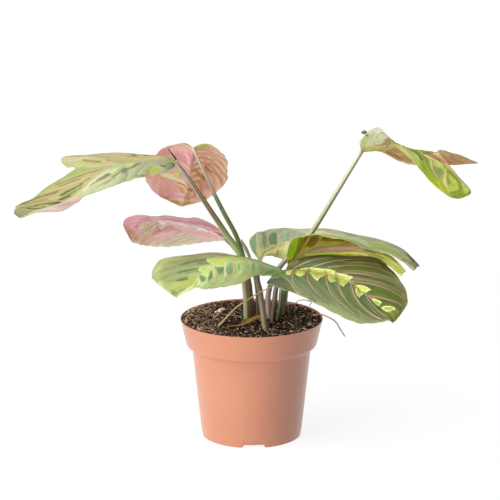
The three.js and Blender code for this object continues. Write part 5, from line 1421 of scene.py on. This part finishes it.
        (("8a8a6c", "7f8060", 0.9, 0.4, 0.85), "", [(1.6, 1.6, [(471.5, 160.5), (478, 163)])]),
    ],
}

# How many rings a tube has between two of its points.
PER_SPAN = 8


def tube(name, points, radii, material, sides=16, flatness=1.0):
    """A tapered tube along a smooth line. Its material reads how far up it a point is, from 0 to
    1, and how far to the right, from -1 to 1."""
    count = PER_SPAN * (len(points) - 1)
    share = np.linspace(0, 1, count + 1)
    centre = rail(points, share)
    along = unit(np.gradient(centre, axis=0))
    right = np.array([1.0, 0, 0])
    across = right
    turn = np.arange(sides) / sides
    angle = 2 * math.pi * turn[:, None]
    rings = []
    for c, a, r in zip(centre, along, spread_values(radii, share)):
        across = unit(across - a * (across @ a))
        other = np.cross(a, across)
        rings.append(c + r * (across * np.cos(angle) + flatness * other * np.sin(angle)))
    rings = np.array(rings)
    faces = grid_faces(count + 1, sides, flip=True, closed=True)
    faces += [list(range(sides))[::-1], list(range(count * sides, (count + 1) * sides))]
    piece = new_object(name, rings.reshape(-1, 3), faces, [material])
    up = share[:, None].repeat(sides, 1)
    set_fields(piece, {"share": up, "side": unit(rings - centre[:, None]) @ right})
    set_uv(piece, np.stack([up.ravel(), turn[None].repeat(count + 1, 0).ravel()], 1))
    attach(piece, "root")
    return piece


# A stalk's streaks, how far its two sides' colours wander with them and run into each other, and
# the dark stripe: its tone, where it lies from left to right, its half breadth and its core, and
# where up the stalk it starts and ends.
STALK_STREAKS = (5.0, 5.0)
SIDES_WANDER = 0.9
SIDES_BLEND = 0.45
STRIPE_TONE = "5f4a34"
STRIPE_SIDE = -0.15
STRIPE_BREADTH = (0.45, 0.1)
STRIPE_START = (0.58, 0.72)
STRIPE_END = (1.0, 0.85)


def stalk_material(name, left, right, dark_stripe=0.0, seed=0.0):
    """Stalk colours up its length for its left and right, with fine long streaks. Besides the stalk's
    own colours, its left tones carry painted light and its right tones painted shade.
    """
    g = Nodes(name, roughness=0.42, specular=0.4)
    share, side = g.field("share"), g.field("side")
    streak = g.streaks(share, side, STALK_STREAKS, seed)
    spots = g.noise(g.place(), scale=420.0, detail=2.0)
    tones = []
    for stops in (left, right):
        colour = srgb(stops[0][1])
        for (low, _), (high, code) in zip(stops, stops[1:]):
            colour = g.mix(g.ramp(share, low, high), colour, srgb(code))
        tones.append(colour)
    # Painted light and shade: the tone turns from the left one to the right one as the surface turns from
    # facing left to facing right.
    turn = g.add(side, g.round_zero(streak, SIDES_WANDER))
    colour = g.mix(g.ramp(turn, -SIDES_BLEND, SIDES_BLEND), *tones)
    if dark_stripe:
        stripe = g.ramp(g.math("ABSOLUTE", g.add(turn, -STRIPE_SIDE)), *STRIPE_BREADTH)
        along = g.mul(g.ramp(share, *STRIPE_START), g.ramp(share, *STRIPE_END))
        colour = g.mix(g.mul(g.mul(stripe, along), dark_stripe), colour, srgb(STRIPE_TONE))
    shade = g.add(g.mul(streak, 0.3), g.mul(spots, 0.2))
    colour = g.tint(colour, g.add(shade, 0.75))
    g.bump(streak, strength=0.25, distance=0.0005)
    return g.done(colour)


# Colours up the length of each stalk, on its left and on its right, as shares of the length with
# their tones. Besides the stalks' own colours, the left tones mostly carry painted light and the
# right ones painted shade, such as stalk_h's pale highlight on its left.
STALK_LOOKS = {
    "stalk_a": ([(0, "b4be88"), (.42, "bcc490"), (.55, "a3b078"), (.66, "c2b298"), (1, "d1c4b1")],
                [(0, "958a58"), (.42, "978556"), (.5, "86a058"), (.6, "86a058"), (.7, "7d7448"),
                 (1, "9a8f6a")]),
    "stalk_b": ([(0, "b4977e"), (.3, "a98c74"), (.5, "86965e"), (.76, "93a06c"), (.84, "c2ae94"),
                 (1, "e0c4b8")],
                [(0, "8c6c54"), (.3, "8c7656"), (.5, "6f8250"), (.76, "7d8f5c"), (.84, "b8a890"),
                 (1, "d3b6a2")]),
    "stalk_c": ([(0, "8a7a62"), (1, "c3b79a")], [(0, "6c6448"), (1, "a9a283")]),
    "stalk_d": ([(0, "6c604e"), (.5, "a3917c"), (1, "9a9a66")], [(0, "3a341f"), (1, "5f5a34")]),
    "stalk_e": ([(0, "dcc8be"), (.35, "d8c2b4"), (.5, "a39c7c"), (.75, "b3b292"), (1, "d0ccae")],
                [(0, "b89c8c"), (.35, "ab9278"), (.5, "737450"), (.75, "767850"), (1, "93895e")]),
    "stalk_f": ([(0, "7d8a3c"), (.3, "948474"), (1, "ab9a90")],
                [(0, "66742c"), (.4, "777444"), (1, "8d8a6a")]),
    "stalk_g": ([(0, "6f7450"), (1, "8d8f6c")], [(0, "8c8a6c"), (1, "a3a080")]),
    "stalk_h": ([(0, "7f8f52"), (.4, "c9d2a8"), (1, "d6dcc0")], [(0, "38421e"), (1, "4a5828")]),
}
# The young shoot's left tones carry painted light and its right ones painted shade too.
SHOOT_LOOK = ([(0, "8f8a62"), (1, "a79f78")], [(0, "6f7348"), (1, "8d8f5e")])
# How strong the dark stripe is that one stalk has below its leaf.
DARK_STRIPES = {"stalk_a": 0.95}

# The visual of the long thin stalk is a little stouter than its solid, as it looks in the photo.
STOUTER = {"stalk_e": 1.15}


def rooted(path, radii):
    """A path and its radii with a point added below, so that the stalk stands in the soil."""
    p = np.array(path, float)
    down = unit(p[0] - p[1])
    return np.vstack([p[0] + down * ROOT_DEPTH, p]), np.array([radii[0], *radii])


def make_stalks():
    """The stalks, each up to where its leaf's midrib starts, and the young shoot."""
    for name, (path, radii) in STALKS.items():
        points, radii = rooted(path, radii)
        joint = LEAVES["leaf_" + name[-1]]["rib"][0]
        skin = stalk_material(name + "_skin", *STALK_LOOKS[name], DARK_STRIPES.get(name, 0.0), len(path))
        stalk = tube(name + "_stem", np.vstack([points, joint]), radii * STOUTER.get(name, 1.0), skin)
        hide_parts(name)
    shoot = tube("young_shoot_stem", *rooted(*YOUNG_SHOOT), stalk_material("shoot_skin", *SHOOT_LOOK),
                 flatness=0.6)
    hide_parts("young_shoot")


def turned(profile, sides):
    """A grid of points of a surface turned round the z axis: a ring for each point of a profile."""
    angle = np.linspace(0, 2 * math.pi, sides, endpoint=False)
    profile = np.asarray(profile, float)
    return np.stack([profile[:, :1] * np.cos(angle), profile[:, :1] * np.sin(angle),
                     profile[:, 1:].repeat(sides, 1)], 2)


def rounded(profile, reach):
    """The profile with each corner cut into a short curve, within a part of the spans beside it."""
    p = np.asarray(profile, float)
    part = 0.45
    out = [p[0]]
    for before, here, after in zip(p, p[1:], p[2:]):
        back, on = before - here, after - here
        cut = min(reach, part * np.linalg.norm(back), part * np.linalg.norm(on))
        start, end = here + unit(back) * cut, here + unit(on) * cut
        for t in (0, 0.33, 0.67, 1):
            out.append((1 - t) ** 2 * start + 2 * t * (1 - t) * here + t * t * end)
    return np.array(out + [p[-1]])


def divided(profile, longest):
    """The profile with points added, so that no span is longer than that."""
    out = [profile[0]]
    for a, b in zip(profile, profile[1:]):
        parts = max(1, int(np.ceil(np.linalg.norm(b - a) / longest)))
        out += [a + (b - a) * k / parts for k in range(1, parts + 1)]
    return np.array(out)


# The pot, in mm: its wall's outline as radius and height, from the base's underside round to the
# base's upper side, and its corners' rounding.
BASE_UNDER = 3.4
BASE_UPPER = 4.8
POT_WALL = [(39.2, BASE_UNDER), (39.6, 0), (42.2, 0), (50.3, 77.2), (52.6, 77.8), (54.6, 79.2),
            (55.4, 80.8), (59.7, 100.6), (60, 101.1), (59.8, 101.5), (59, 101.5), (58.8, 101.1),
            (54.2, 81.1), (51.8, 79.1), (49.1, 78.4), (41.5, BASE_UPPER)]
POT_ROUNDING = 0.5
POT_SIDES = 288
LONGEST_SPAN = 6.0
# The four notches of its foot ring: where the first stands in degrees, their height, and their
# width at the top and at the foot.
FIRST_NOTCH = -87.5
NOTCH_HEIGHT = 2.8
NOTCH_WIDTHS = (15.5, 20.5)
FOOT_RADIUS = 39.0
# Its drain holes, each in the middle of a sector of the base: how far out, radius and sides. The
# base reaches a little into the wall.
HOLES = 6
HOLE_REACH = 25
HOLE_RADIUS = 4.0
HOLE_SIDES = 48
BASE_LEVELS = ((BASE_UNDER, 39.4), (BASE_UPPER, 41.4))


def make_pot():
    points = turned(divided(rounded(POT_WALL, POT_ROUNDING), LONGEST_SPAN), POT_SIDES)
    faces = grid_faces(len(points), POT_SIDES, closed=True)
    # The foot ring rises over each notch.
    quarter = math.pi / 2
    turn = np.arctan2(points[..., 1], points[..., 0]) - math.radians(FIRST_NOTCH) + quarter / 2
    radius = np.hypot(points[..., 0], points[..., 1])
    sideways = np.abs(turn % quarter - quarter / 2) * radius
    rise = NOTCH_HEIGHT * (1 - smoothstep(NOTCH_WIDTHS[0] / 2, NOTCH_WIDTHS[1] / 2, sideways))
    low = (points[..., 2] < BASE_UNDER) & (radius > FOOT_RADIUS)
    points[..., 2] = np.where(low, np.maximum(points[..., 2], rise), points[..., 2])
    points = points.reshape(-1, 3)
    base_points, base_faces = base_plate(len(points))
    pot = new_object("plant_pot", np.vstack([points, base_points]), faces + base_faces, [pot_material()])
    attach(pot, "root")
    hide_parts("pot")


def border_distance(centre, ray, sector, limit):
    """How far it is from a drain hole's centre along a ray to the border of its sector."""
    along = centre @ ray
    best = math.sqrt(along * along - centre @ centre + limit ** 2) - along
    for side in (sector, sector + 1):
        border = 2 * math.pi * side / HOLES
        normal = np.array([-math.sin(border), math.cos(border)])
        slope = ray @ normal
        if abs(slope) > 1e-6 and -(centre @ normal) / slope > 0:
            best = min(best, -(centre @ normal) / slope)
    return best


def base_plate(first):
    """The pot's base with its round drain holes. Its first point has the number first."""
    points, faces = [], []
    per_level = HOLES * HOLE_SIDES * 2
    for upper, (z, limit) in enumerate(BASE_LEVELS):
        for sector in range(HOLES):
            middle = 2 * math.pi * (sector + 0.5) / HOLES
            centre = HOLE_REACH * np.array([math.cos(middle), math.sin(middle)])
            start = first + len(points)
            for k in range(HOLE_SIDES):
                way = 2 * math.pi * k / HOLE_SIDES
                ray = np.array([math.cos(way), math.sin(way)])
                reach = border_distance(centre, ray, sector, limit)
                points += [(*(centre + HOLE_RADIUS * ray), z), (*(centre + reach * ray), z)]
                a, b = start + 2 * k, start + 2 * ((k + 1) % HOLE_SIDES)
                if upper:
                    faces += [[b, b + 1, a + 1, a], [a, b, b - per_level, a - per_level]]
                else:
                    faces.append([a, a + 1, b + 1, b])
    return np.array(points), faces


def pot_material():
    g = Nodes("terracotta_plastic", roughness=0.4, specular=0.5)
    g.shader.inputs["Coat Weight"].default_value = 0.5
    g.shader.inputs["Coat Roughness"].default_value = 0.16
    place = g.place()
    broad = g.noise(place, scale=14.0, detail=2.0)
    spots = g.noise(place, scale=180.0, detail=3.0, rough=0.6)
    grain = g.noise(place, scale=1500.0, detail=2.0)
    colour = g.mix(g.ramp(broad, 0.3, 0.7), srgb("cb8564"), srgb("c47e5e"))
    # Painted shade: the plastic is darker towards the right.
    colour = g.mix(g.ramp(g.sideways(place), 0.0, 0.042), colour, srgb("b3745a"))
    colour = g.tint(colour, g.add(g.mul(spots, 0.06), 0.97))
    g.bump(g.add(g.mul(grain, 0.4), spots), strength=0.25, distance=0.0004)
    return g.done(colour)


# The soil's large relief in mm: how high it is heaped against the rim and what more at the left,
# where from left to right, outward and to the back that changes, as shares of the rim's radius, and
# how much lower it lies at the right.
HEAP = 1.0
HEAP_LEFT = 0.7
LEFT_SPAN = (0.3, -0.9)
OUTWARD_SPAN = (0.7, 0.95)
BACK_SPAN = (0.95, 0.55)
SOIL_SLOPE = 0.5


def soil_height(x, y):
    """The soil's level in mm: wavy, and heaped against the rim except at the back."""
    heap = HEAP + HEAP_LEFT * smoothstep(*LEFT_SPAN, x / RIM_RADIUS)
    heap = heap * smoothstep(*OUTWARD_SPAN, np.hypot(x, y) / RIM_RADIUS)
    heap = heap * smoothstep(*BACK_SPAN, y / RIM_RADIUS)
    long_waves = 0.4 * np.sin(0.17 * x + 0.8) * np.cos(0.15 * y)
    short_waves = 0.3 * np.sin(0.43 * x + 0.21 * y) * np.sin(0.39 * y - 0.18 * x)
    return SOIL_LEVEL + heap - SOIL_SLOPE * x / RIM_RADIUS + long_waves + short_waves


def soil_material():
    """Dark and light peat, painted paler at the left, where it is lit, and darker at the right, where
    the leaves shade it, with near-black painted shade in hollows. A crumb's tone makes it a pale or a
    dark one, and a tone above 1 makes it white."""
    g = Nodes("damp_peat", roughness=0.9, specular=0.2)
    place = g.place()
    tone = g.field("tone")
    patches = g.noise(place, scale=90.0, detail=4.0, rough=0.65)
    grains = g.noise(place, scale=700.0, detail=3.0, rough=0.6)
    hollow_shade = g.noise(place, scale=150.0, detail=2.0)
    # Painted light and shade: each tone is paler at the left, where the peat is lit, and darker at the
    # right, where the leaves shade it.
    lit_left = g.ramp(g.add(g.sideways(place), g.mul(patches, 0.03)), 0.0, -0.035)
    dark, light, palest = [g.mix(lit_left, srgb(right), srgb(left)) for right, left in
                           (("2f241a", "b08c6c"), ("6e5843", "d8b696"), ("d6bb9e", "ecd0ac"))]
    colour = g.mix(g.ramp(patches, 0.35, 0.65), dark, light)
    colour = g.mix(g.ramp(tone, 0.66, 0.95), colour, palest)
    # Near-black for the darkest crumbs, which is their own colour, and in spots of painted shade for hollows
    # between them.
    for amount, low, high in ((tone, 0.36, 0.12), (hollow_shade, 0.42, 0.34)):
        colour = g.mix(g.ramp(amount, low, high), colour, srgb("1a130e"))
    colour = g.tint(colour, g.add(g.mul(grains, 0.9), 0.55))
    colour = g.mix(g.ramp(tone, 1.1, 1.2), colour, srgb("fff0da"))
    g.bump(g.add(grains, patches), strength=0.8, distance=0.0012)
    return g.done(colour)


# The soil, in mm: the radius and the rings and sides of its surface, how far that and the crumbs
# lie under the soil's level, and the outline of its hidden body inside the pot, as radius and
# height, with its tone.
SOIL_RADIUS = 58.2
SOIL_RINGS = 60
SOIL_SIDES = 180
SUNK = 0.3
SOIL_BODY = [(57.6, 97.4), (54.0, 81.4), (51.3, 79.4), (48.7, 78.6), (41.1, 5.2), (0.5, 5.2)]
BODY_TONE = 0.2
# Its crumbs: how many, their sizes and how these vary, the limits of their three radii as factors
# of that, how lumpy they are, how far out their middles and their rims lie, how far they may stand
# out of the soil as a share of their size, and how far they keep from each stalk.
CRUMBS = 7600
CRUMB_SEED = 11
CRUMB_SIZES = (0.35, 0.4, 0.45, 0.5, 0.6, 0.8, 1.1)
SIZE_FACTORS = (0.8, 1.2)
STRETCHES = ((0.7, 1.5), (0.6, 1.1), (0.5, 0.9))
LUMPS = 0.3
CRUMB_REACH = 0.985
CRUMB_LIMIT = 58.3
CRUMB_LIFT = 0.8
STALK_GAP = 2.6
# A few crumbs lie on the rim at the left: how many, from where to where in degrees and in mm, at
# what height, their sizes, how flat they are, and their darkest and lightest tone.
RIM_CRUMBS = 26
RIM_ARC = (186, 206)
RIM_BAND = (58.4, 59.6)
RIM_TOP = 101.6
RIM_SIZES = (0.4, 0.8)
RIM_FLATNESS = 0.7
RIM_TONES = (0, 0.6)
# A pale flake in three bits lies behind the dry stem: x, y and size of each, their shape, how far
# they stand above the soil's level, and their tone.
FLAKE = ((-27, 23, 2.6), (-24.5, 26, 2.0), (-30, 21.5, 1.5))
FLAKE_SHAPE = np.array([1.3, 1, 0.8])
FLAKE_LIFT = 1.3
FLAKE_TONE = 1.3


def make_soil():
    radius = np.linspace(0.02, 1, SOIL_RINGS)[:, None] * SOIL_RADIUS
    angle = np.linspace(0, 2 * math.pi, SOIL_SIDES, endpoint=False)
    x, y = radius * np.cos(angle), radius * np.sin(angle)
    rough = (0.5 * np.sin(0.9 * x + 1.3 * np.sin(0.7 * y)) * np.sin(1.1 * y + 0.6 * x)
             + 0.35 * np.sin(2.3 * x - 1.7 * y) * np.sin(1.9 * y + 0.5))
    top = np.stack([x, y, soil_height(x, y) + 0.5 * rough - SUNK], 2)
    grid = np.concatenate([top, turned(SOIL_BODY, SOIL_SIDES)])
    faces = grid_faces(len(grid), SOIL_SIDES, flip=True, closed=True)
    points = [grid.reshape(-1, 3)]
    count = grid.shape[0] * SOIL_SIDES
    faces += [list(range(SOIL_SIDES)), list(range(count - SOIL_SIDES, count))[::-1]]
    tones = [np.full(count, BODY_TONE)]
    draw = random.Random(CRUMB_SEED)
    stems = [path[0][:2] for path, _ in (*STALKS.values(), YOUNG_SHOOT)]
    unit_points, unit_faces = crumb_shape()

    def add_crumb(x, y, z, stretch, tone):
        nonlocal count, faces
        spin = draw.uniform(0, 2 * math.pi)
        c, s = math.cos(spin), math.sin(spin)
        lumps = np.array([1 + LUMPS * draw.uniform(-1, 1) for _ in unit_points])[:, None]
        body = unit_points * lumps * np.array(stretch)
        body = body @ np.array([[c, s, 0], [-s, c, 0], [0, 0, 1]])
        points.append(body + np.array([x, y, z]))
        faces += [[k + count for k in face] for face in unit_faces]
        count += len(unit_points)
        tones.append(np.full(len(unit_points), tone))

    placed = 0
    while placed < CRUMBS:
        r, a = SOIL_RADIUS * math.sqrt(draw.random()) * CRUMB_REACH, draw.uniform(0, 2 * math.pi)
        x, y = r * math.cos(a), r * math.sin(a)
        size = draw.choice(CRUMB_SIZES) * draw.uniform(*SIZE_FACTORS)
        nearest = min(math.hypot(x - sx, y - sy) for sx, sy in stems)
        if nearest < STALK_GAP + size or r + size > CRUMB_LIMIT:
            continue
        stretch = [draw.uniform(*limits) * size for limits in STRETCHES]
        z = soil_height(x, y) - SUNK + size * draw.uniform(0, CRUMB_LIFT)
        add_crumb(x, y, z, stretch, draw.random())
        placed += 1
    for _ in range(RIM_CRUMBS):
        a, r = math.radians(draw.uniform(*RIM_ARC)), draw.uniform(*RIM_BAND)
        size = draw.uniform(*RIM_SIZES)
        stretch = [size, size, RIM_FLATNESS * size]
        add_crumb(r * math.cos(a), r * math.sin(a), RIM_TOP, stretch, draw.uniform(*RIM_TONES))
    for x, y, size in FLAKE:
        add_crumb(x, y, soil_height(x, y) + FLAKE_LIFT, FLAKE_SHAPE * size, FLAKE_TONE)
    soil = new_object("potting_soil", np.concatenate(points), faces, [soil_material()])
    set_fields(soil, {"tone": np.concatenate(tones)})
    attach(soil, "root")
    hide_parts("soil")


def crumb_shape():
    """A ball of 12 points and 20 faces."""
    golden = (1 + math.sqrt(5)) / 2
    corners = [(-1, golden, 0), (1, golden, 0), (-1, -golden, 0), (1, -golden, 0), (0, -1, golden),
               (0, 1, golden), (0, -1, -golden), (0, 1, -golden), (golden, 0, -1), (golden, 0, 1),
               (-golden, 0, -1), (-golden, 0, 1)]
    faces = [(0, 11, 5), (0, 5, 1), (0, 1, 7), (0, 7, 10), (0, 10, 11), (1, 5, 9), (5, 11, 4),
             (11, 10, 2), (10, 7, 6), (7, 1, 8), (3, 9, 4), (3, 4, 2), (3, 2, 6), (3, 6, 8), (3, 8, 9),
             (4, 9, 5), (2, 4, 11), (6, 2, 10), (8, 6, 7), (9, 8, 1)]
    return unit(np.array(corners, float)), faces


DRY_STREAKS = (9.0, 4.0)


def dry_material(name, light, dark):
    g = Nodes(name, roughness=0.8, specular=0.2)
    streak = g.streaks(g.field("share"), g.field("side"), DRY_STREAKS)
    spots = g.noise(g.place(), scale=500.0, detail=2.0)
    colour = g.mix(g.ramp(streak, 0.35, 0.65), srgb(light), srgb(dark))
    colour = g.tint(colour, g.add(g.mul(spots, 0.5), 0.75))
    g.bump(streak, strength=0.4, distance=0.0006)
    return g.done(colour)


# Dead parts of the plant: points in mm with their height over the soil's level, radii, how flat,
# and the two colours.
SCRAPS = {
    "dry_stem": ([(-27, -23, 1.6), (-22.5, -22.5, 6.5), (-19, -22, 10.5), (-12, -21.5, 17.5),
                  (0, -21, 25.5), (9, -21.5, 31), (18, -20.5, 34.5)],
                 [1.2, .9, .8, .7, .6, .5, .4], 1.0, "e3cba2", "bc9c72"),
    "dry_sheath": ([(-18.5, -25.5, 1.7), (-9.5, -23, 2), (-2, -18, 3.8), (3.5, -14.5, 6), (9, -12.5, 7.2)],
                   [.5, 1.3, 2.5, 2.5, 1.5], 0.6, "c39a4c", "9a7438"),
    "dry_root": ([(51.5, 9, .9), (55, 7, 2.3), (59.5, 5.5, 2.9), (70, 5, -2.3), (74.5, 5, -9.1),
                  (79, 5, -16.1)],
                 [.6, .6, .6, .6, .6, .5], 1.0, "c9b79a", "a08c70"),
}
SCRAP_SIDES = 12

# Small dry and green bits: points in mm, radii, the two colours and the material slot.
BITS = {
    "joint_spike": ([(-69.3, -3, 247.5), (-65.8, -3, 242.9), (-62.4, -3, 237.9)], [.3, .7, .9],
                    "4a4428", "5f5834", "stalk"),
    "leaf_hook": ([(91.2, 8, 258.3), (93.6, 7.6, 259.1), (96.2, 6.2, 256.4)], [1, 1.6, 1.2],
                  "6d7350", "5a6044", "leaf_upper"),
    "soil_fibre": ([(-25.1, 14, 100.2), (-19.9, 6.3, 102), (-13.2, 4.8, 101.9), (-5.5, -4.4, 101)],
                   [.35, .35, .35, .3], "b8a283", "98846a", "dry"),
    "back_fibre": ([(-17.6, 26.5, 101), (-11.5, 14, 101.9), (-4.7, 7.9, 101.2)], [.3, .35, .3],
                   "a8927a", "8a765e", "dry"),
    "arched_fibre": ([(36.3, -10, 98.8), (37, -10, 116.5), (43, -10, 119.7), (49.7, -10, 117.9),
                      (48, -10, 114.4)],
                     [.3, .3, .35, .35, .25], "7d6a58", "66584a", "dry"),
}
BIT_SIDES = 8


def make_scraps():
    """The dead parts, which the CAD has too, and the small bits, which it doesn't."""
    for name, (path, radii, flatness, light, dark) in SCRAPS.items():
        points = [(x, y, SOIL_LEVEL + z) for x, y, z in path]
        scrap = tube(name + "_piece", points, radii, dry_material(name + "_skin", light, dark),
                     SCRAP_SIDES, flatness)
        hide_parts(name)
    for name, (path, radii, light, dark, slot) in BITS.items():
        bit = tube(name, path, radii, dry_material(name + "_skin", light, dark), BIT_SIDES)


# A near-white floor that glows a little, so that it stays white beside the suns.
FLOOR_REACH = 8
FLOOR_GLOW = 0.88
WHITE = (1.0, 1.0, 1.0, 1.0)
# How bright the sky is at the far left and at the far right.
SKY_LEFT = 0.6
SKY_RIGHT = 0.03
# Broad suns: azimuth, which is 0 in front and -90 at the left, elevation and breadth in degrees,
# and strength.
SUNS = {"key": (-60, 32, 45, 1.6), "front": (-38, 10, 35, 1.15), "top": (-60, 82, 60, 1.2)}


def make_floor():
    mesh = bpy.data.meshes.new("floor")
    corners = [(x * FLOOR_REACH, y * FLOOR_REACH, 0) for x, y in ((-1, -1), (1, -1), (1, 1), (-1, 1))]
    mesh.from_pydata(corners, [], [(0, 1, 2, 3)])
    floor = bpy.data.objects.new("floor", mesh)
    bpy.context.scene.collection.objects.link(floor)
    g = Nodes("pale_floor", roughness=0.9, specular=0.0)
    g.shader.inputs["Emission Color"].default_value = WHITE
    g.shader.inputs["Emission Strength"].default_value = FLOOR_GLOW
    cloud = g.noise(g.place(), scale=3.0, detail=1.0)
    mesh.materials.append(g.done(g.mix(cloud, srgb("686868"), srgb("6e6e6e"))))


def make_sky():
    world = bpy.data.worlds.new("studio")
    bpy.context.scene.world = world
    world.use_nodes = True
    nodes, links = world.node_tree.nodes, world.node_tree.links
    nodes["Background"].inputs["Color"].default_value = WHITE
    way = nodes.new("ShaderNodeTexCoord")
    parts = nodes.new("ShaderNodeSeparateXYZ")
    slope = nodes.new("ShaderNodeMapRange")
    for number, name in zip((-1.0, 1.0, SKY_LEFT, SKY_RIGHT), ("From Min", "From Max", "To Min", "To Max")):
        slope.inputs[name].default_value = number
    links.new(way.outputs["Generated"], parts.inputs[0])
    links.new(parts.outputs[0], slope.inputs[0])
    links.new(slope.outputs[0], nodes["Background"].inputs["Strength"])


def make_suns():
    for name, (azimuth, elevation, breadth, strength) in SUNS.items():
        data = bpy.data.lights.new(name, "SUN")
        data.angle = math.radians(breadth)
        data.energy = strength
        light = bpy.data.objects.new(name, data)
        turn, rise = math.radians(azimuth), math.radians(elevation)
        toward = Vector((math.sin(turn) * math.cos(rise), -math.cos(turn) * math.cos(rise), math.sin(rise)))
        light.rotation_euler = toward.to_track_quat("Z", "Y").to_euler()
        bpy.context.scene.collection.objects.link(light)


for leaf_name, leaf_shape in LEAVES.items():
    make_leaf(leaf_name, leaf_shape, LOOKS[leaf_name])
make_stalks()
make_scraps()
make_pot()
make_soil()
make_floor()
make_sky()
make_suns()
